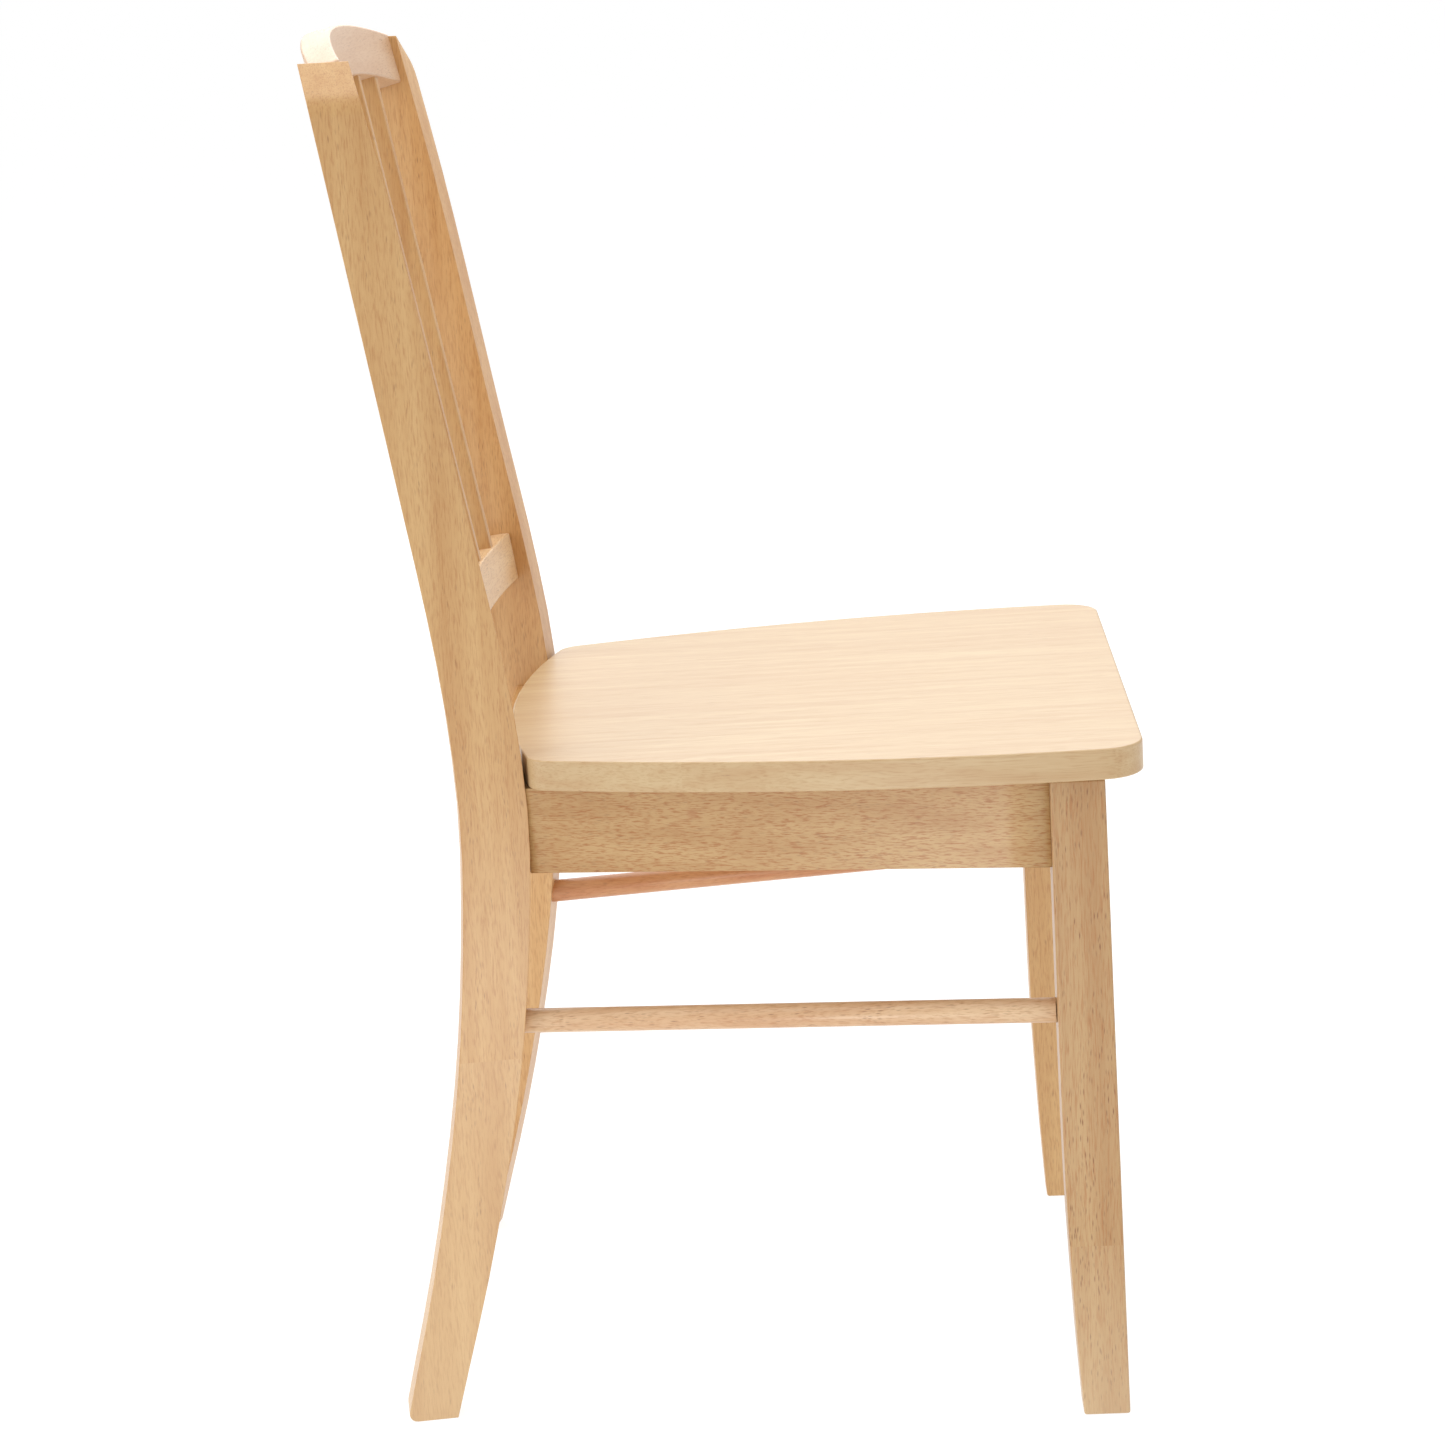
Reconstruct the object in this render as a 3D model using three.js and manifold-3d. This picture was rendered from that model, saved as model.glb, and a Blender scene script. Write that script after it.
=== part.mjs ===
// A solid rubberwood dining chair: sabre-curved back posts, an arched crest rail, five slim back slats,
// tapered front legs and a glued-up seat board on a mortised apron frame.
// Millimetres, +Z up. The sitter faces -Y, so the chair's right side is at -X.
// The origin is on the floor, under the middle of the chair.
import * as THREE from "three";
import { mergeVertices } from "three/addons/utils/BufferGeometryUtils.js";
import Module from "manifold-3d";

// ---- driving dimensions -------------------------------------------------------------------------
const GLUE_GAP = 0.3; // between two pieces that touch

const SEAT_TOP = 450;
const SEAT_THICKNESS = 20;
const SEAT_FRONT_Y = -258.8;
const SEAT_HALF_WIDTH = 211; // at the widest place
const SEAT_WIDEST_Y = -200.5;
const SEAT_SIDE_RADIUS = 1110;
const SEAT_REAR_RADIUS = 588;
const SEAT_REAR_Y = 152; // the rear edge on the centre line, between the back posts
const SEAT_FRONT_CORNER = 25;
const SEAT_REAR_CORNER = 10;
const SEAT_EASING = 1.5;
const SEAT_SLOPE = THREE.MathUtils.degToRad(0.8); // the seat and its aprons fall towards the back
const SEAT_SLOPE_Y = -196.5; // and are at their drawn height here
const SEAT_BOTTOM = SEAT_TOP - SEAT_THICKNESS;

const APRON_HEIGHT = 57;
const APRON_THICKNESS = 20;
const APRON_BOTTOM = SEAT_BOTTOM - GLUE_GAP - APRON_HEIGHT;
const APRON_MIDDLE = APRON_BOTTOM + APRON_HEIGHT / 2;

const LEG_OUTER_X = 205;
const LEG_WIDTH = 28;
const LEG_TOP = SEAT_BOTTOM - GLUE_GAP;
const LEG_FRONT_Y = { foot: -240, top: -233.5 };
const LEG_BACK_Y = { foot: -210, knee: -201.5, top: -198.5 };
const LEG_KNEE_Z = 170; // the back face tapers faster below this height
const LEG_EASING = 2;

const POST_TOP = 888;
const POST_WIDTH = 24;
const POST_X = 153; // outer front arris at seat height
const POST_Y = 135.5;
const POST_TOE_IN = THREE.MathUtils.degToRad(9);
const POST_LEAN = THREE.MathUtils.degToRad(1.45); // each post leans towards the other
const POST_SHOULDER = 23; // the outer top corner is sloped off by this much each way
const POST_SHOULDER_EASING = 6; // and the slope is rounded into the faces
// Height, front face and front-to-back depth along the sabre curve, in the post's own plane.
const POST_STATIONS = [
  [0, 70.5, 33.5],
  [120, 37.5, 37.5],
  [250, 11, 41.5],
  [380, -2, 44],
  [450, 0, 43.5],
  [520, 9, 41.5],
  [620, 26.5, 39],
  [780, 54, 36.5],
  [POST_TOP, 76, 31.5],
];
const POST_HEEL_RADIUS = 7;
const POST_TOE_CHAMFER = 3;

const RAIL_THICKNESS = 20;
const RAIL_HEIGHT = 34;
const RAIL_HALF_SPAN = 130; // where the front faces below are given
// Both back rails curve round the sitter's back, and the crest is arched as well.
const CREST = { frontY: 214.5, bottom: 856.5, rake: THREE.MathUtils.degToRad(12.3), bowRadius: 580, archRise: 17 };
const LOWER_RAIL = { frontY: 155.5, bottom: 504, rake: THREE.MathUtils.degToRad(8), bowRadius: 700, archRise: 0 };

const SLAT_COUNT = 5;
const SLAT_PITCH = 43.6;
const SLAT_WIDTH = 7.5;
const SLAT_DEPTH = 16;
const SLAT_SET_BACK = 1.5; // behind the rails' front faces
const SLAT_STUB = 8; // length of the stub tenon at each end

const STRETCHER_RADIUS = 8;
const STRETCHER_FRONT_Z = 274;
const STRETCHER_REAR_Z = 266;
const STRETCHER_INSET = 2; // its centre line lies this far inside the middles of the leg and the post
const STRETCHER_PIN_RADIUS = 6;
const STRETCHER_PIN_LENGTH = 16;

const FRONT_APRON_Y = -229.5; // its front face
const REAR_APRON_Y = 142.5;

const TENON_THICKNESS = 8;
const TENON_LENGTH = 14;
const TENON_SHOULDER = 5; // above and below each tenon
const LOWER_RAIL_TENON = { length: TENON_LENGTH, height: RAIL_HEIGHT - 2 * TENON_SHOULDER, drop: 0 };
const CREST_TENON = { length: 9, height: 14, drop: 6 }; // short and low, to stay inside the sloped shoulder

const BLOCK_LEG = 46; // the corner block's two glued faces
const BLOCK_HEIGHT = 38;
const BLOCK_NOSE = 14; // width of the flats beside the long face
const SCREW_RADIUS = 2;
const SCREW_LENGTH = 34;
const SCREW_HEAD_RADIUS = 4;
const SCREW_HEAD_HEIGHT = 2.6;
const SEAT_SCREW_BITE = 13; // thread length inside the seat

// ---- solids --------------------------------------------------------------------------------------
const wasm = await Module();
wasm.setup();

// A three.js geometry as a closed solid.
function solid(geometry) {
  const bare = geometry.clone();
  bare.deleteAttribute("normal");
  bare.deleteAttribute("uv");
  const merged = mergeVertices(bare, 1e-4);
  return new wasm.Manifold(
    new wasm.Mesh({
      numProp: 3,
      vertProperties: new Float32Array(merged.attributes.position.array),
      triVerts: new Uint32Array(merged.index.array),
    }),
  );
}

// A closed solid as a three.js geometry with flat facets.
function geometryOf(body) {
  const { vertProperties, triVerts } = body.getMesh();
  const indexed = new THREE.BufferGeometry();
  indexed.setAttribute("position", new THREE.BufferAttribute(vertProperties, 3));
  indexed.setIndex(new THREE.BufferAttribute(triVerts, 1));
  const faceted = indexed.toNonIndexed();
  faceted.computeVertexNormals();
  return faceted;
}

const cut = (geometry, ...tools) =>
  geometryOf(tools.reduce((left, tool) => left.subtract(solid(tool)), solid(geometry)));
const join = (geometry, ...others) =>
  geometryOf(others.reduce((sum, other) => sum.add(solid(other)), solid(geometry)));
const common = (geometry, other) => geometryOf(solid(geometry).intersect(solid(other)));

// The geometry moved by a matrix; a mirroring matrix also turns each triangle round.
function placed(geometry, matrix) {
  const moved = (geometry.index ? geometry.toNonIndexed() : geometry.clone()).applyMatrix4(matrix);
  if (matrix.determinant() > 0) return moved;
  const corners = moved.attributes.position;
  const swap = new THREE.Vector3();
  const keep = new THREE.Vector3();
  for (let i = 0; i < corners.count; i += 3) {
    swap.fromBufferAttribute(corners, i);
    keep.fromBufferAttribute(corners, i + 1);
    corners.setXYZ(i, keep.x, keep.y, keep.z);
    corners.setXYZ(i + 1, swap.x, swap.y, swap.z);
  }
  moved.computeVertexNormals();
  return moved;
}

const MIRROR = new THREE.Matrix4().makeScale(-1, 1, 1);
const mirrored = (geometry) => placed(geometry, MIRROR);

// A matrix that turns by angles about x, y and z, then moves.
function pose(x, y, z, turnX = 0, turnY = 0, turnZ = 0) {
  const turn = new THREE.Quaternion().setFromEuler(new THREE.Euler(turnX, turnY, turnZ, "ZYX"));
  return new THREE.Matrix4().compose(new THREE.Vector3(x, y, z), turn, new THREE.Vector3(1, 1, 1));
}

// The slope of the seat and its aprons, as a matrix that is applied last.
const SLOPE = pose(0, SEAT_SLOPE_Y, SEAT_TOP, -SEAT_SLOPE).multiply(pose(0, -SEAT_SLOPE_Y, -SEAT_TOP));
const sloped = (matrix) => SLOPE.clone().multiply(matrix);

const block = (width, depth, height, matrix = pose(0, 0, 0)) =>
  placed(new THREE.BoxGeometry(width, depth, height), matrix);

// A cylinder along local +Z whose foot is at the matrix's origin.
function rod(radius, length, matrix, sides = 20) {
  const upright = new THREE.CylinderGeometry(radius, radius, length, sides);
  upright.rotateX(Math.PI / 2).translate(0, 0, length / 2);
  return placed(upright, matrix);
}

// An outline in the Y-Z plane, drawn with shape x = y and shape y = z, made solid from x = from to x = to.
function sideways(shape, from, to) {
  const plate = new THREE.ExtrudeGeometry(shape, { depth: to - from, bevelEnabled: false, curveSegments: 12 });
  const axes = new THREE.Matrix4().makeBasis(
    new THREE.Vector3(0, 1, 0),
    new THREE.Vector3(0, 0, 1),
    new THREE.Vector3(1, 0, 0),
  );
  return placed(plate, axes).translate(from, 0, 0);
}

// An outline in the X-Z plane made solid from y = from to y = to.
function frontways(shape, from, to) {
  const plate = new THREE.ExtrudeGeometry(shape, { depth: to - from, bevelEnabled: false, curveSegments: 12 });
  return plate.rotateX(Math.PI / 2).translate(0, to, 0);
}

// A matrix whose +Z points from one place to another.
function aimed(from, to) {
  const turn = new THREE.Quaternion().setFromUnitVectors(
    new THREE.Vector3(0, 0, 1),
    to.clone().sub(from).normalize(),
  );
  return new THREE.Matrix4().compose(from, turn, new THREE.Vector3(1, 1, 1));
}

// ---- back posts ----------------------------------------------------------------------------------
// The right post's frame: x = 0 on its outer face, y along its depth, with the lean as a shear.
const leanShear = new THREE.Matrix4().set(
  1, 0, Math.tan(POST_LEAN), -SEAT_TOP * Math.tan(POST_LEAN),
  0, 1, 0, 0,
  0, 0, 1, 0,
  0, 0, 0, 1,
); // prettier-ignore
const POST_FRAME = pose(-POST_X, POST_Y, 0, 0, 0, POST_TOE_IN).multiply(leanShear);

const postFront = new THREE.SplineCurve(POST_STATIONS.map(([z, front]) => new THREE.Vector2(front, z)));
const postBack = new THREE.SplineCurve(
  POST_STATIONS.map(([z, front, depth]) => new THREE.Vector2(front + depth, z)),
);

// The post's front or back face at a height, in its own plane.
function faceAt(curve, height) {
  const points = curve.getPoints(200);
  const above = points.findIndex((point) => point.y >= height);
  const [low, high] = [points[Math.max(above - 1, 0)], points[Math.max(above, 1)]];
  return THREE.MathUtils.mapLinear(height, low.y, high.y, low.x, high.x);
}

// The sabre outline, with a rounded heel and a small chamfer at the toe.
function postOutline() {
  const steps = 44;
  const heel = faceAt(postBack, 0);
  const toe = faceAt(postFront, 0);
  const shape = new THREE.Shape();
  shape.moveTo(toe + POST_TOE_CHAMFER, 0);
  shape.lineTo(heel - POST_HEEL_RADIUS, 0);
  shape.quadraticCurveTo(heel, 0, faceAt(postBack, POST_HEEL_RADIUS), POST_HEEL_RADIUS);
  const rise = postBack.getSpacedPoints(steps).filter((point) => point.y > 2 * POST_HEEL_RADIUS);
  rise.forEach((point) => shape.lineTo(point.x, point.y));
  const fall = postFront.getSpacedPoints(steps).filter((point) => point.y > 2 * POST_TOE_CHAMFER);
  fall.reverse().forEach((point) => shape.lineTo(point.x, point.y));
  shape.lineTo(faceAt(postFront, POST_TOE_CHAMFER), POST_TOE_CHAMFER);
  return shape;
}

// The post seen from the front: straight sides and a rounded outer shoulder.
function postFaceOutline() {
  const shape = new THREE.Shape();
  shape.moveTo(0, -1);
  shape.lineTo(POST_WIDTH, -1);
  shape.lineTo(POST_WIDTH, POST_TOP);
  const run = POST_SHOULDER_EASING * Math.SQRT1_2;
  const slopeFoot = POST_TOP - POST_SHOULDER;
  shape.lineTo(POST_SHOULDER, POST_TOP);
  shape.lineTo(run, slopeFoot + run);
  shape.quadraticCurveTo(0, slopeFoot, 0, slopeFoot - POST_SHOULDER_EASING);
  return shape;
}

const postBlank = () =>
  placed(common(sideways(postOutline(), -1, POST_WIDTH + 1), frontways(postFaceOutline(), -40, 160)), POST_FRAME);

// Everything outside the right post's inner face, so that a rail cut by it stops at the post.
const outsidePost = () =>
  block(200, 500, 1200, POST_FRAME.clone().multiply(pose(POST_WIDTH + GLUE_GAP - 100, 60, 450)));

// Everything behind the right post's front face at a height.
const behindPost = (height) =>
  block(
    200,
    200,
    300,
    POST_FRAME.clone().multiply(pose(0, faceAt(postFront, height) - GLUE_GAP - 1 + 100, height)),
  );

// ---- tenons and mortises -------------------------------------------------------------------------
// A tenon is stored with its mortise, which is larger by the glue gap all round.
function tenon(width, depth, height, matrix) {
  const grown = 2 * GLUE_GAP;
  return {
    tongue: block(width, depth, height, matrix),
    mortise: block(width + grown, depth + grown, height + grown, matrix),
  };
}

function pin(radius, length, matrix) {
  const seat = matrix.clone().multiply(pose(0, 0, -GLUE_GAP));
  return { tongue: rod(radius, length, matrix), mortise: rod(radius + GLUE_GAP, length + 2 * GLUE_GAP, seat) };
}

// ---- back rails ----------------------------------------------------------------------------------
const bowAt = (rail, x) => (RAIL_HALF_SPAN ** 2 - x ** 2) / (2 * rail.bowRadius);
const archAt = (rail, x) => rail.archRise * (1 - (x / RAIL_HALF_SPAN) ** 2);
const railFrame = (rail) => pose(0, rail.frontY, rail.bottom, -rail.rake);

// A curved strip: its lower edge follows the given curve, and its upper edge is the same curve moved up.
function strip(curve, height) {
  const reach = RAIL_HALF_SPAN + 25;
  const steps = 28;
  const places = Array.from({ length: steps + 1 }, (_, i) => -reach + (2 * reach * i) / steps);
  const lower = places.map((x) => new THREE.Vector2(x, curve(x)));
  const upper = places.map((x) => new THREE.Vector2(x, curve(x) + height)).reverse();
  return new THREE.Shape([...lower, ...upper]);
}

// A rail bowed in plan and arched in elevation, raked back, and stopped at both posts.
function railBlank(rail) {
  const plan = new THREE.ExtrudeGeometry(strip((x) => bowAt(rail, x), RAIL_THICKNESS), {
    depth: 120,
    bevelEnabled: false,
  });
  const elevation = frontways(strip((x) => archAt(rail, x), RAIL_HEIGHT), -40, 80);
  const curved = common(plan.translate(0, 0, -40), elevation);
  const raked = placed(curved, railFrame(rail));
  return cut(raked, outsidePost(), mirrored(outsidePost()));
}

// The right end's tenon, square to the post's inner face and raked with the rail.
function railTenon(rail, size) {
  const height = rail.bottom + RAIL_HEIGHT / 2 - size.drop;
  const inPost = new THREE.Vector3(-RAIL_HALF_SPAN, rail.frontY + RAIL_THICKNESS / 2 + 3, height);
  inPost.applyMatrix4(POST_FRAME.clone().invert());
  const local = pose(POST_WIDTH - size.length / 2 + 2, inPost.y, height, -rail.rake);
  return tenon(
    size.length + 4,
    TENON_THICKNESS,
    size.height,
    POST_FRAME.clone().multiply(local),
  );
}

// ---- back slats ----------------------------------------------------------------------------------
const slatPlaces = Array.from({ length: SLAT_COUNT }, (_, i) => (i - (SLAT_COUNT - 1) / 2) * SLAT_PITCH);

// Where a slat's centre line leaves the lower rail and meets the crest rail.
function slatEnds(x) {
  const inset = SLAT_SET_BACK + SLAT_DEPTH / 2;
  const foot = new THREE.Vector3(x, bowAt(LOWER_RAIL, x) + inset, RAIL_HEIGHT).applyMatrix4(railFrame(LOWER_RAIL));
  const head = new THREE.Vector3(x, bowAt(CREST, x) + inset, archAt(CREST, x)).applyMatrix4(railFrame(CREST));
  return { foot, head };
}

// The slat's centre line carried on into both rails by the stub's length.
function slatFrame(x) {
  const { foot, head } = slatEnds(x);
  const rake = Math.atan2(head.y - foot.y, head.z - foot.z);
  const yaw = -Math.asin((2 * x) / (CREST.bowRadius + LOWER_RAIL.bowRadius));
  const middle = foot.clone().add(head).multiplyScalar(0.5);
  return { length: foot.distanceTo(head), matrix: pose(middle.x, middle.y, middle.z, -rake, 0, yaw) };
}

// A slat blank that runs into both rails, and the shoulders that the rails' edges cut on it.
function slatPieces(x, rails) {
  const { length, matrix } = slatFrame(x);
  const body = block(SLAT_WIDTH, SLAT_DEPTH, length + 8, matrix);
  const shouldered = cut(body, ...rails);
  const stub = tenon(SLAT_WIDTH - 2, SLAT_DEPTH - 6, length + 2 * SLAT_STUB, matrix);
  return { slat: join(shouldered, stub.tongue), mortise: stub.mortise };
}

// ---- front legs ----------------------------------------------------------------------------------
function legOutline() {
  const shape = new THREE.Shape();
  shape.moveTo(LEG_FRONT_Y.foot + LEG_EASING, 0);
  shape.lineTo(LEG_BACK_Y.foot - LEG_EASING, 0);
  shape.lineTo(LEG_BACK_Y.foot, LEG_EASING);
  shape.quadraticCurveTo(LEG_BACK_Y.knee - 2, LEG_KNEE_Z * 0.75, LEG_BACK_Y.knee, LEG_KNEE_Z);
  shape.lineTo(LEG_BACK_Y.top, LEG_TOP);
  shape.lineTo(LEG_FRONT_Y.top, LEG_TOP);
  shape.lineTo(LEG_FRONT_Y.foot, LEG_EASING);
  return shape;
}

const legBlank = () => sideways(legOutline(), -LEG_OUTER_X, -LEG_OUTER_X + LEG_WIDTH);

// ---- side aprons and stretchers ------------------------------------------------------------------
const APRON_FRONT = new THREE.Vector2(-LEG_OUTER_X + 3, LEG_BACK_Y.top); // outer face at the leg
const APRON_REAR = new THREE.Vector2(-POST_X + 0.5, POST_Y); // outer face at the post
const APRON_TURN = Math.atan2(APRON_FRONT.x - APRON_REAR.x, APRON_REAR.y - APRON_FRONT.y);
const APRON_LENGTH = APRON_FRONT.distanceTo(APRON_REAR);
const LEVEL_APRON_FRAME = pose(APRON_FRONT.x, APRON_FRONT.y, APRON_BOTTOM, 0, 0, APRON_TURN);
const APRON_FRAME = sloped(LEVEL_APRON_FRAME);

function sideApronBlank() {
  const board = block(
    APRON_THICKNESS,
    APRON_LENGTH + 40,
    APRON_HEIGHT,
    APRON_FRAME.clone().multiply(pose(APRON_THICKNESS / 2, APRON_LENGTH / 2, APRON_HEIGHT / 2)),
  );
  const legFace = LEG_BACK_Y.top + GLUE_GAP;
  const aheadOfLeg = block(300, 100, 200, pose(-LEG_OUTER_X, legFace - 50, APRON_MIDDLE));
  return cut(board, aheadOfLeg, behindPost(APRON_MIDDLE));
}

// A tenon along the side apron, reaching into the leg or the post by the given length.
function sideApronTenon(alongMiddle, length) {
  const local = pose(APRON_THICKNESS / 2, alongMiddle, APRON_HEIGHT / 2);
  return tenon(
    TENON_THICKNESS,
    length,
    APRON_HEIGHT - 4 * TENON_SHOULDER,
    APRON_FRAME.clone().multiply(local),
  );
}

const STRETCHER_FRONT = new THREE.Vector3(
  -LEG_OUTER_X + LEG_WIDTH / 2 + STRETCHER_INSET,
  LEG_BACK_Y.knee + 1.4,
  STRETCHER_FRONT_Z,
);
const STRETCHER_REAR = new THREE.Vector3(
  POST_WIDTH / 2 + STRETCHER_INSET,
  faceAt(postFront, STRETCHER_REAR_Z),
  STRETCHER_REAR_Z,
);
STRETCHER_REAR.applyMatrix4(POST_FRAME);

// The round bar between a front leg and a back post, shouldered at both ends.
function stretcherPieces() {
  const along = STRETCHER_REAR.clone().sub(STRETCHER_FRONT);
  const direction = along.clone().normalize();
  const shoulder = 3; // the posts' faces are not square to the bar, so its ends stand off by this much
  const foot = STRETCHER_FRONT.clone().addScaledVector(direction, shoulder);
  const bar = rod(STRETCHER_RADIUS, along.length() - 2 * shoulder, aimed(foot, STRETCHER_REAR), 32);
  const start = STRETCHER_FRONT.clone().addScaledVector(direction, -STRETCHER_PIN_LENGTH);
  const core = pin(STRETCHER_PIN_RADIUS, along.length() + 2 * STRETCHER_PIN_LENGTH, aimed(start, STRETCHER_REAR));
  return { stretcher: join(bar, core.tongue), mortise: core.mortise };
}

// ---- front and rear aprons -----------------------------------------------------------------------
function frontApronPieces() {
  const inner = LEG_OUTER_X - LEG_WIDTH;
  const middleY = FRONT_APRON_Y + APRON_THICKNESS / 2;
  const middle = sloped(pose(0, middleY, APRON_MIDDLE));
  const board = block(2 * (inner - GLUE_GAP), APRON_THICKNESS, APRON_HEIGHT, middle);
  const key = tenon(
    2 * (inner + TENON_LENGTH),
    TENON_THICKNESS,
    APRON_HEIGHT - 2 * TENON_SHOULDER,
    middle,
  );
  return { apron: join(board, key.tongue), mortise: key.mortise };
}

function rearApronPieces() {
  const middleY = REAR_APRON_Y + APRON_THICKNESS / 2;
  const middle = sloped(pose(0, middleY, APRON_MIDDLE));
  const board = block(400, APRON_THICKNESS, APRON_HEIGHT, middle);
  const key = tenon(
    2 * (POST_X - POST_WIDTH + TENON_LENGTH),
    TENON_THICKNESS,
    APRON_HEIGHT - 2 * TENON_SHOULDER,
    middle,
  );
  return { apron: join(cut(board, outsidePost(), mirrored(outsidePost())), key.tongue), mortise: key.mortise };
}

// ---- seat ----------------------------------------------------------------------------------------
const seatSideAt = (y) => SEAT_HALF_WIDTH - (y - SEAT_WIDEST_Y) ** 2 / (2 * SEAT_SIDE_RADIUS);
const seatRearAt = (x) => SEAT_REAR_Y - SEAT_REAR_RADIUS + Math.sqrt(SEAT_REAR_RADIUS ** 2 - x ** 2);

// The seat's right half from the middle of the front edge round to the middle of the rear edge.
function seatHalf() {
  const corner = SEAT_FRONT_CORNER;
  const turn = Array.from({ length: 7 }, (_, i) => (i / 6) * (Math.PI / 2));
  const centre = new THREE.Vector2(seatSideAt(SEAT_FRONT_Y + corner) - corner, SEAT_FRONT_Y + corner);
  const front = turn.map(
    (angle) => new THREE.Vector2(centre.x + corner * Math.sin(angle), centre.y - corner * Math.cos(angle)),
  );
  const rearCornerY = 129.5;
  const sideEnd = rearCornerY - SEAT_REAR_CORNER;
  const sides = Array.from({ length: 10 }, (_, i) => THREE.MathUtils.lerp(centre.y, sideEnd, (i + 1) / 10));
  const side = sides.map((y) => new THREE.Vector2(seatSideAt(y), y));
  const cornerX = seatSideAt(rearCornerY);
  const rearStart = new THREE.Vector2(cornerX - SEAT_REAR_CORNER, seatRearAt(cornerX - SEAT_REAR_CORNER));
  const bend = new THREE.QuadraticBezierCurve(side.at(-1), new THREE.Vector2(cornerX, rearCornerY), rearStart);
  const rear = Array.from({ length: 8 }, (_, i) => rearStart.x * (1 - (i + 1) / 8));
  return [
    ...front,
    ...side,
    ...bend.getPoints(4).slice(1),
    ...rear.map((x) => new THREE.Vector2(x, seatRearAt(x))),
  ];
}

function seatBlank() {
  const half = seatHalf();
  const other = half.slice(0, -1).map((point) => new THREE.Vector2(-point.x, point.y));
  const shape = new THREE.Shape([...half, ...other.reverse()]);
  const board = new THREE.ExtrudeGeometry(shape, {
    depth: SEAT_THICKNESS - 2 * SEAT_EASING,
    bevelEnabled: true,
    bevelThickness: SEAT_EASING,
    bevelSize: SEAT_EASING,
    bevelOffset: -SEAT_EASING,
    bevelSegments: 2,
  });
  return board.translate(0, 0, SEAT_BOTTOM + SEAT_EASING).applyMatrix4(SLOPE);
}

// ---- corner blocks and screws --------------------------------------------------------------------
// A block in its own frame: the two glued faces lie along +X and +Y from the corner of the frame.
function blockOutline(spread) {
  const far = new THREE.Vector2(Math.cos(spread), Math.sin(spread)).multiplyScalar(BLOCK_LEG);
  const nose = new THREE.Vector2(BLOCK_LEG - 2, BLOCK_NOSE);
  const farNose = far.clone().multiplyScalar((BLOCK_LEG - 2) / BLOCK_LEG);
  farNose.add(new THREE.Vector2(Math.sin(spread), -Math.cos(spread)).multiplyScalar(BLOCK_NOSE));
  const nearCorner = 18; // clears the leg or the post in the corner
  const farCorner = far.clone().multiplyScalar(nearCorner / BLOCK_LEG);
  return new THREE.Shape([new THREE.Vector2(nearCorner, 0), new THREE.Vector2(BLOCK_LEG, 0), nose, farNose, far, farCorner]);
}

// A countersunk wood screw along +Z, its head flush with the matrix's origin.
function screw(length, matrix) {
  const profile = [
    [0, 0],
    [SCREW_HEAD_RADIUS, 0],
    [SCREW_RADIUS, SCREW_HEAD_HEIGHT],
    [SCREW_RADIUS, length - 4],
    [0, length],
  ];
  const turned = new THREE.LatheGeometry(profile.map(([r, z]) => new THREE.Vector2(r, z)), 16);
  return placed(turned.rotateX(Math.PI / 2), matrix);
}

function screwHole(length, matrix) {
  const start = matrix.clone().multiply(pose(0, 0, -12));
  const shank = rod(SCREW_RADIUS + GLUE_GAP, length + 12.6, start, 16);
  const sink = rod(SCREW_HEAD_RADIUS + GLUE_GAP, 12 + SCREW_HEAD_HEIGHT + GLUE_GAP, start, 16);
  return join(shank, sink);
}

// One corner of the frame: its block, two screws into the aprons and one up into the seat.
function corner(matrix, spread) {
  const plate = new THREE.ExtrudeGeometry(blockOutline(spread), { depth: BLOCK_HEIGHT, bevelEnabled: false });
  const bottom = SEAT_BOTTOM - 6 - BLOCK_HEIGHT;
  const body = placed(plate.translate(0, 0, bottom), matrix);
  const middle = bottom + BLOCK_HEIGHT / 2;
  const bite = 26; // where along each glued face its screw crosses
  const entry = BLOCK_NOSE + 3;
  const nearScrew = matrix.clone().multiply(pose(bite, entry, middle + 9, Math.PI / 2));
  const reach = new THREE.Vector2(Math.cos(spread), Math.sin(spread)).multiplyScalar(bite);
  reach.add(new THREE.Vector2(Math.sin(spread), -Math.cos(spread)).multiplyScalar(entry));
  const farScrew = matrix.clone().multiply(pose(reach.x, reach.y, middle - 9, Math.PI / 2, 0, spread + Math.PI));
  const halfWay = spread / 2;
  const seatScrew = matrix.clone().multiply(pose(20 * Math.cos(halfWay), 20 * Math.sin(halfWay), bottom));
  return { body, nearScrew, farScrew, seatScrew };
}

// ---- materials -----------------------------------------------------------------------------------
const wood = (colour) => new THREE.MeshStandardMaterial({ color: colour, roughness: 0.45, metalness: 0 });
const LACQUERED = wood(0xd6ab78);
const SEAT_WOOD = wood(0xe6c79c);
const RAIL_WOOD = wood(0xdcba90);
const RAW_WOOD = wood(0xd2b48c);
const ZINC = new THREE.MeshStandardMaterial({ color: 0xb9b6ad, roughness: 0.35, metalness: 1 });

// ---- assembly ------------------------------------------------------------------------------------
const group = new THREE.Group();

// Adds a piece as a mesh that sits at the middle of its own box.
function add(name, geometry, material) {
  geometry.computeBoundingBox();
  const centre = geometry.boundingBox.getCenter(new THREE.Vector3());
  const mesh = new THREE.Mesh(geometry.translate(-centre.x, -centre.y, -centre.z), material);
  mesh.name = name;
  mesh.position.copy(centre);
  group.add(mesh);
}

// Adds a right-hand piece and its mirror image.
function addPair(name, geometry, material) {
  const left = mirrored(geometry);
  add(`${name}_right`, geometry, material);
  add(`${name}_left`, left, material);
}

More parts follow.
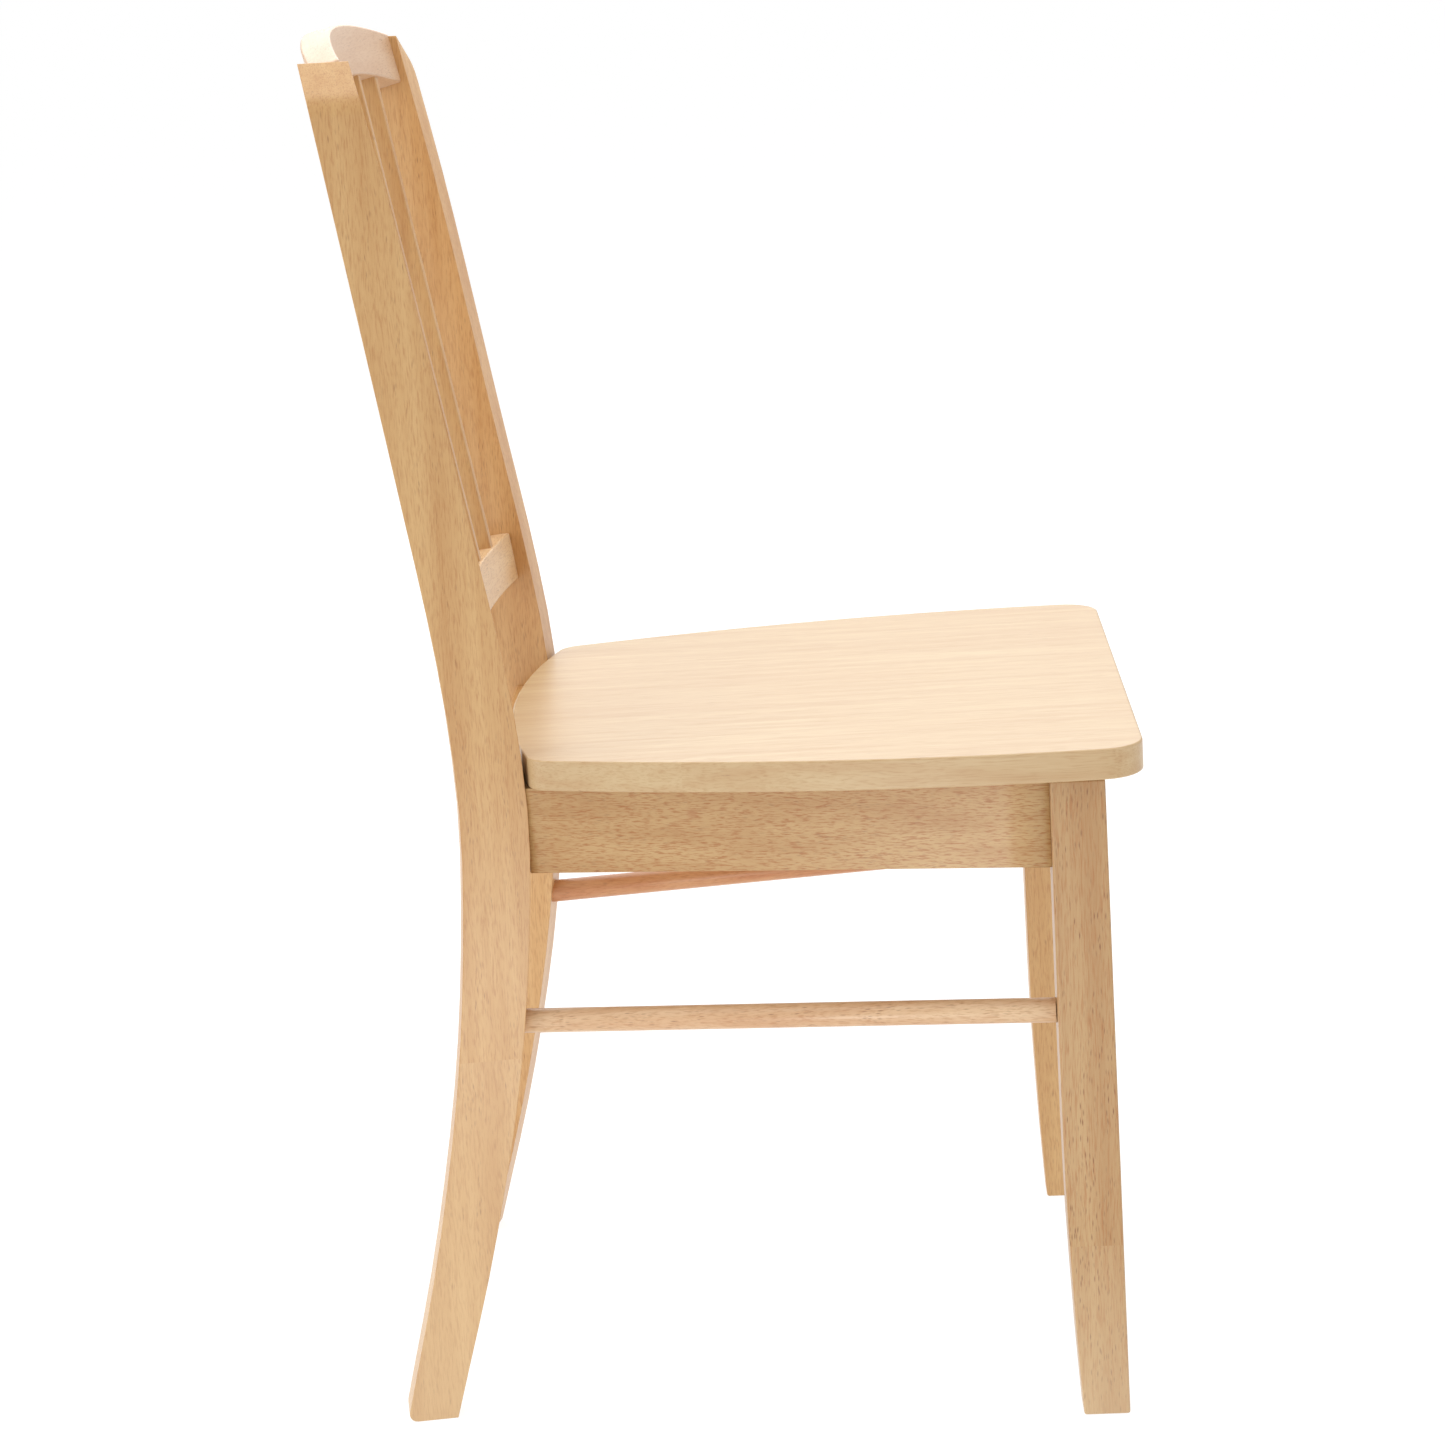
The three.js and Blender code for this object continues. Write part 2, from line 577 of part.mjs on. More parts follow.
const crestTenon = railTenon(CREST, CREST_TENON);
const lowerTenon = railTenon(LOWER_RAIL, LOWER_RAIL_TENON);
const stretcher = stretcherPieces();
const frontApron = frontApronPieces();
const rearApron = rearApronPieces();
const legTenon = sideApronTenon(-TENON_LENGTH / 2 + 4, TENON_LENGTH + 8);
const postTenon = sideApronTenon(APRON_LENGTH - 1, TENON_LENGTH + 10);

addPair("front_leg", cut(legBlank(), frontApron.mortise, legTenon.mortise, stretcher.mortise), LACQUERED);
addPair(
  "rear_post",
  cut(
    postBlank(),
    crestTenon.mortise,
    lowerTenon.mortise,
    rearApron.mortise,
    postTenon.mortise,
    stretcher.mortise,
  ),
  LACQUERED,
);
addPair("side_stretcher", stretcher.stretcher, LACQUERED);

const tongued = (blank, { tongue }) => join(blank, tongue, mirrored(tongue));
const crestBlank = railBlank(CREST);
const lowerBlank = railBlank(LOWER_RAIL);
const slats = slatPlaces.map((x) => slatPieces(x, [crestBlank, lowerBlank]));
const slatMortises = slats.map(({ mortise }) => mortise);
add("crest_rail", cut(tongued(crestBlank, crestTenon), ...slatMortises), RAIL_WOOD);
add("lower_back_rail", cut(tongued(lowerBlank, lowerTenon), ...slatMortises), RAIL_WOOD);
slats.forEach(({ slat }, i) => add(`back_slat_${i + 1}`, slat, LACQUERED));

// The frame's inner corners, each with the glued faces of its block.
const innerFront = new THREE.Vector3(APRON_THICKNESS + GLUE_GAP, 0, 0).applyMatrix4(LEVEL_APRON_FRAME);
const frontInnerY = FRONT_APRON_Y + APRON_THICKNESS + GLUE_GAP;
const rearInnerY = REAR_APRON_Y - GLUE_GAP;
const innerFaceAt = (y) => innerFront.x + (y - innerFront.y) * -Math.tan(APRON_TURN);
const corners = {
  front: corner(sloped(pose(innerFaceAt(frontInnerY), frontInnerY, 0)), Math.PI / 2 + APRON_TURN),
  rear: corner(
    sloped(pose(innerFaceAt(rearInnerY), rearInnerY, 0, 0, 0, APRON_TURN - Math.PI / 2)),
    Math.PI / 2 - APRON_TURN,
  ),
};

const seatHoles = [];
const apronHoles = [];
const seatScrewLength = BLOCK_HEIGHT + 6 + SEAT_SCREW_BITE;
for (const [end, { body, nearScrew, farScrew, seatScrew }] of Object.entries(corners)) {
  const holes = [screwHole(SCREW_LENGTH, nearScrew), screwHole(SCREW_LENGTH, farScrew)];
  const seatHole = screwHole(seatScrewLength, seatScrew);
  apronHoles.push(...holes);
  seatHoles.push(seatHole, mirrored(seatHole));
  addPair(`${end}_corner_block`, cut(body, ...holes, seatHole), RAW_WOOD);
  addPair(`${end}_block_screw_a`, screw(SCREW_LENGTH, nearScrew), ZINC);
  addPair(`${end}_block_screw_b`, screw(SCREW_LENGTH, farScrew), ZINC);
  addPair(`${end}_seat_screw`, screw(seatScrewLength, seatScrew), ZINC);
}

const bothSides = apronHoles.flatMap((hole) => [hole, mirrored(hole)]);
const sideApron = join(sideApronBlank(), legTenon.tongue, postTenon.tongue);
addPair("side_apron", cut(sideApron, ...apronHoles), LACQUERED);
add("front_apron", cut(frontApron.apron, ...bothSides), LACQUERED);
add("rear_apron", cut(rearApron.apron, ...bothSides), LACQUERED);
add("seat_panel", cut(seatBlank(), ...seatHoles), SEAT_WOOD);

export default group;
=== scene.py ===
"""A solid rubberwood dining chair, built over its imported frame.

Every visible stick of wood is a bmesh piece with eased arrises that stands for the frame's plain
solid. The corner blocks and the screws are kept from the frame, in better finishes. Sizes are in
millimetres until a piece is finished, and +Z is up. The sitter faces -Y, so the chair's right side
is at -X.
"""

from __future__ import annotations

import logging
import math
from collections.abc import Callable, Iterable, Sequence
from dataclasses import dataclass, field
from enum import Enum

import bmesh
import bpy
from mathutils import Matrix, Vector

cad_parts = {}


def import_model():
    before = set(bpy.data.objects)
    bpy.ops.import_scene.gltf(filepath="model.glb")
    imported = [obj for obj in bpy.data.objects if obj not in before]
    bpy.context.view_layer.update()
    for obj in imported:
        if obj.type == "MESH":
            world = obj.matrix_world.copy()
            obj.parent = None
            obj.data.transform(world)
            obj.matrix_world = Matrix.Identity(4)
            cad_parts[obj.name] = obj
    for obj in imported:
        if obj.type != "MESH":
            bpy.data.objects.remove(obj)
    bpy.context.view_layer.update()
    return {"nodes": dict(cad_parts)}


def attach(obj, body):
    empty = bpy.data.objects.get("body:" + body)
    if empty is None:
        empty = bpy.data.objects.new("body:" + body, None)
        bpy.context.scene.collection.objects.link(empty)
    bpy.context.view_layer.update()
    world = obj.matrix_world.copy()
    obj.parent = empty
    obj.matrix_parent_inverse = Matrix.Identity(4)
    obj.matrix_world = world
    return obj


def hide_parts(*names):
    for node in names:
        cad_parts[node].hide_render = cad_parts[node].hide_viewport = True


log = logging.getLogger("dining_chair")

MM = 0.001
BODY = "root"

# The seat and its aprons fall towards the back, about a line across the chair near its front.
SEAT_FALL = math.radians(0.8)
SEAT_PIVOT = Matrix.Translation((0, -196.5, 450))
SEAT_SLOPE = SEAT_PIVOT @ Matrix.Rotation(-SEAT_FALL, 4, "X") @ SEAT_PIVOT.inverted()

# How far a rail or an apron runs into its neighbour, so that no gap shows at the joint.
LET_IN = 0.5
# How far a side apron stops short of the leg and of the post, which shows as a fine line.
SHOULDER_GAP = 0.1
SLATS = 5  # between the crest rail and the lower rail


# ---- finishes ------------------------------------------------------------------------------------
def linear(colour: str) -> tuple[float, float, float, float]:
    """Turn an sRGB hex colour into linear RGBA.

    Args:
        colour: Six hex digits, such as "d9b382".

    Returns:
        The colour as four linear values, with an alpha of one.
    """
    channels = [int(colour[i : i + 2], 16) / 255 for i in (0, 2, 4)]
    red, green, blue = (
        c / 12.92 if c <= 0.04045 else ((c + 0.055) / 1.055) ** 2.4 for c in channels
    )
    return red, green, blue, 1.0


def add_node(
    tree: bpy.types.NodeTree,
    kind: str,
    inputs: dict[str | int, object] | None = None,
    **settings: object,
) -> bpy.types.Node:
    """Add a node with its settings, and set or link its inputs.

    Args:
        tree: The node tree that gets the node.
        kind: The node's type, such as "ShaderNodeMath".
        inputs: Input name or number to a value, or to the output socket that is linked to it.
        **settings: The node's own attributes.

    Returns:
        The new node.
    """
    node = tree.nodes.new(kind)
    for name, value in settings.items():
        setattr(node, name, value)
    for name, value in (inputs or {}).items():
        if isinstance(value, bpy.types.NodeSocket):
            tree.links.new(value, node.inputs[name])
        else:
            node.inputs[name].default_value = value
    return node


class Grain(Enum):
    """The way that a piece's grain runs, as the turn that brings it onto the pattern's Z axis."""

    UPRIGHT = (0.0, 0.0, 0.0)
    FRONT_TO_BACK = (math.pi / 2, 0.0, 0.0)
    SIDE_TO_SIDE = (0.0, -math.pi / 2, 0.0)


@dataclass(frozen=True)
class Rubberwood:
    """Plantation rubberwood, planed, sanded and sprayed with clear satin lacquer.

    The wood is pale honey with soft straight growth bands, wavering fibre flecks, and open pores
    that show as short brown dashes along the grain. The lacquer leaves a soft sheen, and the pores
    stay faintly open in it. Lengths are in millimetres, and so are a splice's height and a knot's
    place, which are given on the chair.
    """

    name: str
    grain: Grain
    seed: float
    pale: str = "cfa872"
    warm: str = "be905a"
    fleck: str = "a1642f"
    pore: str = "7a4d2c"
    fleck_length: float = 10.0
    fleck_strength: float = 0.4
    pore_strength: float = 0.6
    pore_cover: float = 0.5
    band_width: float = 16.0
    waver: float = 1.6
    board_width: float = 0.0
    splices: tuple[float, ...] = ()
    # The tint below a splice: partly a paler board, partly painted floor light that is strongest at
    # the foot.
    spliced_board_and_foot_light_pale: str = "e6cfac"
    knots: tuple[tuple[float, float, float], ...] = ()
    roughness: float = 0.42

    def material(self) -> bpy.types.Material:
        """Build the node material.

        Returns:
            The finish, ready for a piece.
        """
        material = bpy.data.materials.new(self.name)
        material.use_nodes = True
        tree = material.node_tree
        tree.nodes.clear()
        place = self._wavering(tree, self._grain_place(tree))
        bands = self._growth_bands(tree, place)
        fibre = self._noise(tree, place, across=1.0, along=40.0, detail=3.0)
        flecks = self._flecks(tree, place)
        pores = self._pores(tree, place)
        colour = self._colour(tree, bands, fibre, flecks, pores)
        relief = add_node(
            tree,
            "ShaderNodeMath",
            {0: fibre, 1: -0.25, 2: self._less(tree, pores)},
            operation="MULTIPLY_ADD",
        )
        bump = add_node(
            tree,
            "ShaderNodeBump",
            {"Strength": 0.3, "Distance": 0.07 * MM, "Height": relief.outputs[0]},
        )
        sheen = add_node(
            tree,
            "ShaderNodeMapRange",
            {"Value": fibre, "To Min": self.roughness - 0.05, "To Max": self.roughness + 0.07},
        )
        surface = add_node(
            tree,
            "ShaderNodeBsdfPrincipled",
            {
                "Base Color": colour,
                "Roughness": sheen.outputs[0],
                "Normal": bump.outputs[0],
                "IOR": 1.46,
                "Coat Weight": 0.3,
                "Coat Roughness": 0.28,
            },
        )
        add_node(tree, "ShaderNodeOutputMaterial", {"Surface": surface.outputs[0]})
        return material

    def _grain_place(self, tree: bpy.types.NodeTree) -> bpy.types.NodeSocket:
        """Place in the wood, with the grain along Z, broken at board joints and splices.

        Args:
            tree: The finish's node tree.

        Returns:
            The place, shifted by chance for each piece, board and spliced length.
        """
        here = add_node(tree, "ShaderNodeTexCoord").outputs["Object"]
        turned = add_node(
            tree,
            "ShaderNodeMapping",
            {"Vector": here, "Rotation": self.grain.value},
        ).outputs[0]
        axes = add_node(tree, "ShaderNodeSeparateXYZ", {0: turned})
        piece = add_node(tree, "ShaderNodeValue").outputs[0]
        piece.default_value = self.seed
        if self.board_width:
            boards = add_node(
                tree,
                "ShaderNodeMath",
                {0: axes.outputs["X"], 1: 1 / (self.board_width * MM)},
                operation="MULTIPLY",
            )
            board = add_node(tree, "ShaderNodeMath", {0: boards.outputs[0]}, operation="FLOOR")
            piece = add_node(
                tree, "ShaderNodeMath", {0: piece, 1: board.outputs[0]}, operation="ADD"
            ).outputs[0]
        next_board = 5.3
        for height in self.splices:
            past = add_node(
                tree,
                "ShaderNodeMath",
                {0: axes.outputs["Z"], 1: height * MM},
                operation="GREATER_THAN",
            )
            piece = add_node(
                tree,
                "ShaderNodeMath",
                {0: past.outputs[0], 1: next_board, 2: piece},
                operation="MULTIPLY_ADD",
            ).outputs[0]
        chance = add_node(
            tree, "ShaderNodeTexWhiteNoise", {"W": piece}, noise_dimensions="1D"
        )
        return add_node(
            tree, "ShaderNodeVectorMath", {0: turned, 1: chance.outputs["Color"]}, operation="ADD"
        ).outputs[0]

    def _wavering(
        self, tree: bpy.types.NodeTree, place: bpy.types.NodeSocket
    ) -> bpy.types.NodeSocket:
        """Place pushed a little to and fro, so that the fibres waver along the piece.

        Args:
            tree: The finish's node tree.
            place: The place in the wood.

        Returns:
            The place, pushed over the grain by up to `waver` mm.
        """
        slow_waves = self._stretched(tree, place, across=14.0, along=34.0)
        slow = add_node(
            tree,
            "ShaderNodeTexNoise",
            {"Vector": slow_waves, "Detail": 1.0, "Scale": 1.0},
        ).outputs["Color"]
        push = add_node(
            tree, "ShaderNodeVectorMath", {0: slow, 1: (0.5, 0.5, 0.5)}, operation="SUBTRACT"
        ).outputs[0]
        reach = 2 * self.waver * MM
        return add_node(
            tree,
            "ShaderNodeVectorMath",
            {0: push, 1: (reach, reach, 0.0), 2: place},
            operation="MULTIPLY_ADD",
        ).outputs[0]

    def _stretched(
        self,
        tree: bpy.types.NodeTree,
        place: bpy.types.NodeSocket,
        across: float,
        along: float,
    ) -> bpy.types.NodeSocket:
        """Scale a place for a pattern that is stretched along the grain.

        Args:
            tree: The finish's node tree.
            place: The place in the wood.
            across: What one unit of the pattern is over the grain, in millimetres.
            along: What one unit is with the grain, in millimetres.

        Returns:
            The scaled place.
        """
        over, with_grain = 1 / (across * MM), 1 / (along * MM)
        return add_node(
            tree,
            "ShaderNodeMapping",
            {"Vector": place, "Scale": (over, over, with_grain)},
        ).outputs[0]

    def _noise(
        self,
        tree: bpy.types.NodeTree,
        place: bpy.types.NodeSocket,
        across: float,
        along: float,
        detail: float,
    ) -> bpy.types.NodeSocket:
        """Soft noise, stretched along the grain.

        Args:
            tree: The finish's node tree.
            place: The place in the wood.
            across: The width of one soft spot, in millimetres.
            along: Its length.
            detail: How many finer layers lie over it.

        Returns:
            The noise, about 0.5 on average.
        """
        stretched = self._stretched(tree, place, across, along)
        return add_node(
            tree,
            "ShaderNodeTexNoise",
            {"Vector": stretched, "Scale": 1.0, "Detail": detail, "Roughness": 0.55},
        ).outputs[0]

    def _less(self, tree: bpy.types.NodeTree, value: bpy.types.NodeSocket) -> bpy.types.NodeSocket:
        """One minus a value."""
        return add_node(tree, "ShaderNodeMath", {0: 1.0, 1: value}, operation="SUBTRACT").outputs[0]

    def _growth_bands(
        self, tree: bpy.types.NodeTree, place: bpy.types.NodeSocket
    ) -> bpy.types.NodeSocket:
        """Soft straight growth bands of uneven width, far longer than they are wide."""
        length = self.band_width * 22
        wide = self._noise(tree, place, across=self.band_width, along=length, detail=3.0)
        return add_node(
            tree, "ShaderNodeMapRange", {"Value": wide, "From Min": 0.3, "From Max": 0.7}
        ).outputs[0]

    def _flecks(
        self, tree: bpy.types.NodeTree, place: bpy.types.NodeSocket
    ) -> bpy.types.NodeSocket:
        """Darker fibre flecks, about 1 mm wide, with soft ends."""
        fine = self._noise(tree, place, across=0.9, along=self.fleck_length, detail=2.0)
        return add_node(
            tree, "ShaderNodeMapRange", {"Value": fine, "From Min": 0.48, "From Max": 0.68}
        ).outputs[0]

    def _pores(
        self, tree: bpy.types.NodeTree, place: bpy.types.NodeSocket
    ) -> bpy.types.NodeSocket:
        """Open pores: dashes 2 to 6 mm long, thicker on some patches of the wood than on others.

        A real pore is about 0.25 mm wide. It is drawn about three times as wide, so that it shows.

        Args:
            tree: The finish's node tree.
            place: The place in the wood.

        Returns:
            One on a pore, and zero on plain wood.
        """
        spots = self._stretched(tree, place, across=1.5, along=9.0)
        cells = add_node(
            tree, "ShaderNodeTexVoronoi", {"Vector": spots, "Scale": 1.0}, feature="F1"
        )
        away = cells.outputs["Distance"]
        dash = add_node(
            tree,
            "ShaderNodeMapRange",
            {"Value": away, "From Min": 0.1, "From Max": 0.34, "To Min": 1.0, "To Max": 0.0},
        )
        patch = self._noise(tree, place, across=7.0, along=50.0, detail=2.0)
        bare = 0.68 - 0.4 * self.pore_cover
        cover = add_node(
            tree,
            "ShaderNodeMapRange",
            {"Value": patch, "From Min": bare, "From Max": bare + 0.22},
        )
        return add_node(
            tree,
            "ShaderNodeMath",
            {0: dash.outputs[0], 1: cover.outputs[0]},
            operation="MULTIPLY",
        ).outputs[0]

    def _tinted(
        self,
        tree: bpy.types.NodeTree,
        wood: bpy.types.NodeSocket,
        marks: bpy.types.NodeSocket,
        strength: float,
        tint: str,
    ) -> bpy.types.NodeSocket:
        """Lay some marks over the wood's colour in a tint.

        Args:
            tree: The finish's node tree.
            wood: The colour so far.
            marks: One on a mark, and zero beside it.
            strength: How much of the tint a mark takes.
            tint: The tint's hex colour.

        Returns:
            The new colour.
        """
        share = add_node(tree, "ShaderNodeMath", {0: marks, 1: strength}, operation="MULTIPLY")
        return add_node(
            tree,
            "ShaderNodeMix",
            {0: share.outputs[0], 6: wood, 7: linear(tint)},
            data_type="RGBA",
        ).outputs[2]

    def _colour(
        self,
        tree: bpy.types.NodeTree,
        bands: bpy.types.NodeSocket,
        fibre: bpy.types.NodeSocket,
        flecks: bpy.types.NodeSocket,
        pores: bpy.types.NodeSocket,
    ) -> bpy.types.NodeSocket:
        """Put the wood's colour together.

        Args:
            tree: The finish's node tree.
            bands: The growth bands.
            fibre: The fine fibre.
            flecks: The darker flecks.
            pores: The open pores.

        Returns:
            The colour, with its splices, the painted floor light below them, and pin knots.
        """
        streak = add_node(
            tree,
            "ShaderNodeMath",
            {0: fibre, 1: 0.55, 2: bands},
            operation="MULTIPLY_ADD",
        )
        share = add_node(
            tree,
            "ShaderNodeMapRange",
            {"Value": streak.outputs[0], "From Min": 0.1, "From Max": 1.2},
        )
        wood = add_node(
            tree,
            "ShaderNodeMix",
            {0: share.outputs[0], 6: linear(self.pale), 7: linear(self.warm)},
            data_type="RGBA",
        ).outputs[2]
        wood = self._tinted(tree, wood, flecks, self.fleck_strength, self.fleck)
        wood = self._tinted(tree, wood, pores, self.pore_strength, self.pore)
        here = add_node(tree, "ShaderNodeTexCoord").outputs["Object"]
        # Below each splice: a paler board, with painted floor light that grows towards the foot.
        for height in self.splices:
            wood = self._paler_board_and_foot_light_below(tree, wood, here, height)
        for knot in self.knots:
            wood = self._knot(tree, wood, here, Vector(knot) * MM)
        return wood

    def _paler_board_and_foot_light_below(
        self,
        tree: bpy.types.NodeTree,
        wood: bpy.types.NodeSocket,
        here: bpy.types.NodeSocket,
        height: float,
    ) -> bpy.types.NodeSocket:
        """Make the length glued on below a splice a paler board, with painted floor light on it
        that is palest at the foot.

        Args:
            tree: The finish's node tree.
            wood: The colour so far.
            here: The place on the chair.
            height: The splice's height, in millimetres.

        Returns:
            The new colour.
        """
        up = add_node(tree, "ShaderNodeSeparateXYZ", {0: here}).outputs["Z"]
        below = add_node(tree, "ShaderNodeMath", {0: up, 1: height * MM}, operation="LESS_THAN")
        # Painted floor light: the most tint at the foot, fading to a little at the splice.
        foot_light_fade = add_node(
            tree,
            "ShaderNodeMapRange",
            {"Value": up, "From Min": 0.0, "From Max": height * MM, "To Min": 0.3, "To Max": 0.05},
        )
        share = add_node(
            tree, "ShaderNodeMath", {0: below.outputs[0], 1: foot_light_fade.outputs[0]}, operation="MULTIPLY"
        )
        return self._tinted(tree, wood, share.outputs[0], 1.0, self.spliced_board_and_foot_light_pale)

    def _knot(
        self,
        tree: bpy.types.NodeTree,
        wood: bpy.types.NodeSocket,
        here: bpy.types.NodeSocket,
        middle: Vector,
    ) -> bpy.types.NodeSocket:
        """Add a pin knot: a small brown dot with a warm halo.

        Args:
            tree: The finish's node tree.
            wood: The colour so far.
            here: The place on the chair.
            middle: The knot's middle, in metres.

        Returns:
            The new colour.
        """
        dot, halo = 0.8 * MM, 5.5 * MM
        away = add_node(
            tree, "ShaderNodeVectorMath", {0: here, 1: middle}, operation="DISTANCE"
        ).outputs["Value"]
        ramp = add_node(
            tree,
            "ShaderNodeMapRange",
            {"Value": away, "From Min": dot, "From Max": halo, "To Min": 0.5, "To Max": 0.0},
            interpolation_type="SMOOTHERSTEP",
        )
        return self._tinted(tree, wood, ramp.outputs[0], 1.0, "a56a3c")


@dataclass(frozen=True)
class ZincPlate:
    """Zinc-plated steel screws.

    The metal is a cool grey, a little cloudy where the plating passed over it.
    """

    name: str = "zinc_plated_steel"

    def material(self) -> bpy.types.Material:
        """Build the node material.

        Returns:
            The finish, ready for a piece.
        """
        material = bpy.data.materials.new(self.name)
        material.use_nodes = True
        tree = material.node_tree
        tree.nodes.clear()
        here = add_node(tree, "ShaderNodeTexCoord").outputs["Object"]
        cloud = add_node(
            tree, "ShaderNodeTexNoise", {"Vector": here, "Scale": 700.0, "Detail": 3.0}
        ).outputs[0]
        tone = add_node(
            tree,
            "ShaderNodeMix",
            {0: cloud, 6: linear("b4b1a6"), 7: linear("cbc8bd")},
            data_type="RGBA",
        )
        rough = add_node(
            tree, "ShaderNodeMapRange", {"Value": cloud, "To Min": 0.25, "To Max": 0.45}
        )
        surface = add_node(
            tree,
            "ShaderNodeBsdfPrincipled",
            {"Base Color": tone.outputs[2], "Metallic": 1.0, "Roughness": rough.outputs[0]},
        )
        add_node(tree, "ShaderNodeOutputMaterial", {"Surface": surface.outputs[0]})
        return material


# ---- mesh work -----------------------------------------------------------------------------------
def unit_bar(rings: int) -> bmesh.types.BMesh:
    """A bar from 0 to 1 on each axis, divided into rings along Z.

    Args:
        rings: How many lengths the bar is divided into.

    Returns:
        The bar as a new bmesh.
    """
    bar = bmesh.new()
    bmesh.ops.create_cube(bar, size=1.0, matrix=Matrix.Translation((0.5, 0.5, 0.5)))
    risers = [e for e in bar.edges if abs(e.verts[0].co.z - e.verts[1].co.z) > 0.5]
    bmesh.ops.subdivide_edges(bar, edges=risers, cuts=rings - 1)
    return bar


def shaped_bar(rings: int, place: Callable[[Vector], Vector]) -> bmesh.types.BMesh:
    """A ringed bar, moved to its place by a rule.

    Args:
        rings: How many lengths the bar is divided into.
        place: Takes a spot on the unit bar to its place in millimetres.

    Returns:
        The bar as a new bmesh.
    """
    bar = unit_bar(rings)
    for vertex in bar.verts:
        vertex.co = place(vertex.co.copy())
    return bar


def round_edges(
    mesh: bmesh.types.BMesh,
    edges: Iterable[bmesh.types.BMEdge],
    radius: float,
    segments: int,
) -> list[bmesh.types.BMFace]:
    """Round some edges of a mesh, or cut them off straight with one segment.

    Args:
        mesh: The mesh whose edges are rounded.
        edges: The edges.
        radius: How far the cut runs into the faces on each side.
        segments: How many facets the cut has.

    Returns:
        The cut's new faces.
    """
    made = bmesh.ops.bevel(
        mesh,
        geom=list(edges),
        offset=radius,
        offset_type="OFFSET",
        segments=segments,
        profile=0.5,
        affect="EDGES",
        clamp_overlap=True,
        material=-1,
    )
    return made["faces"]


def ease_arrises(mesh: bmesh.types.BMesh, radius: float, segments: int = 3) -> None:
    """Sand every sharp edge to a small radius.

    Args:
        mesh: The mesh.
        radius: How far the round runs into the faces on each side.
        segments: How many facets the round has.
    """
    blunt = math.radians(38)
    bmesh.ops.recalc_face_normals(mesh, faces=mesh.faces[:])
    sharp = [e for e in mesh.edges if e.is_manifold and e.calc_face_angle(0.0) > blunt]
    round_edges(mesh, sharp, radius, segments)


def trim(mesh: bmesh.types.BMesh, point: Vector, normal: Vector) -> None:
    """Cut away what lies past a plane and close the cut.

    Args:
        mesh: The mesh that is cut.
        point: A point on the plane.
        normal: The direction of the waste.
    """
    everything = mesh.verts[:] + mesh.edges[:] + mesh.faces[:]
    bmesh.ops.bisect_plane(
        mesh, geom=everything, plane_co=point, plane_no=normal, clear_outer=True
    )
    bmesh.ops.holes_fill(mesh, edges=[e for e in mesh.edges if e.is_boundary], sides=0)


def mirrored(mesh: bmesh.types.BMesh) -> bmesh.types.BMesh:
    """Copy a mesh for the other side of the chair.

    Args:
        mesh: The right side's mesh.

    Returns:
        The left side's, its faces pointing out again.
    """
    other = mesh.copy()
    bmesh.ops.scale(other, verts=other.verts[:], vec=(-1, 1, 1))
    bmesh.ops.reverse_faces(other, faces=other.faces[:])
    return other


def finish_piece(
    mesh: bmesh.types.BMesh,
    name: str,
    node: str,
    material: bpy.types.Material,
) -> None:
    """Make a shaped mesh a piece of the chair that stands for its CAD node.

    Args:
        mesh: The mesh in millimetres. It is freed.
        name: The piece's name.
        node: The CAD node that it stands for.
        material: The piece's finish.
    """
    bmesh.ops.scale(mesh, verts=mesh.verts[:], vec=(MM, MM, MM))
    bmesh.ops.recalc_face_normals(mesh, faces=mesh.faces[:])
    for face in mesh.faces:
        face.smooth = True
    data = bpy.data.meshes.new(name)
    mesh.to_mesh(data)
    mesh.free()
    data.materials.append(material)
    piece = bpy.data.objects.new(name, data)
    bpy.context.scene.collection.objects.link(piece)
    flat_faces = piece.modifiers.new("flat faces stay flat", "WEIGHTED_NORMAL")
    flat_faces.weight = 100
    flat_faces.keep_sharp = False
    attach(piece, BODY)
    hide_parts(node)
    log.info("%s: %d faces, stands for %s", name, len(data.polygons), node)


def finish_pair(
    mesh: bmesh.types.BMesh,
    name: str,
    node: str,
    finishes: dict[str, bpy.types.Material],
    finish: str,
) -> None:
    """Make the right side's mesh and its mirror image the two frame pieces of a pair.

    Args:
        mesh: The right side's mesh in millimetres. It is freed.
        name: The pieces' name, without the side.
        node: The CAD nodes' name, without the side.
        finishes: Every piece's finish.
        finish: The finishes' name, without the side.
    """
    for side, half in (("right", mesh), ("left", mirrored(mesh))):
        timber = finishes[f"{finish}_{side}"]
        finish_piece(half, f"{name}_{side}", f"{node}_{side}", timber)


def to_left(vector: Vector) -> Vector:
    """The left side's match of a point or a direction on the right."""
    return Vector((-vector.x, vector.y, vector.z))


def through(points: Sequence[tuple[float, float]], height: float) -> float:
    """Read a smooth curve through (height, value) points at a height.

    Args:
        points: Heights in rising order, each with its value.
        height: Where the curve is read.

    Returns:
        The Catmull-Rom value there.
    """
    last = len(points) - 2
    start = next((i for i in range(last, -1, -1) if points[i][0] <= height), 0)
    before, low, high, after = (
        points[min(max(start + step, 0), len(points) - 1)] for step in (-1, 0, 1, 2)
    )
    run = high[0] - low[0]
    share = (height - low[0]) / run
    low_slope = (high[1] - before[1]) / (high[0] - before[0])
    high_slope = (after[1] - low[1]) / (after[0] - low[0])
    smooth = share * share * (3 - 2 * share)
    lift = share * (1 - share) ** 2 * low_slope * run - share**2 * (1 - share) * high_slope * run
    return low[1] * (1 - smooth) + high[1] * smooth + lift


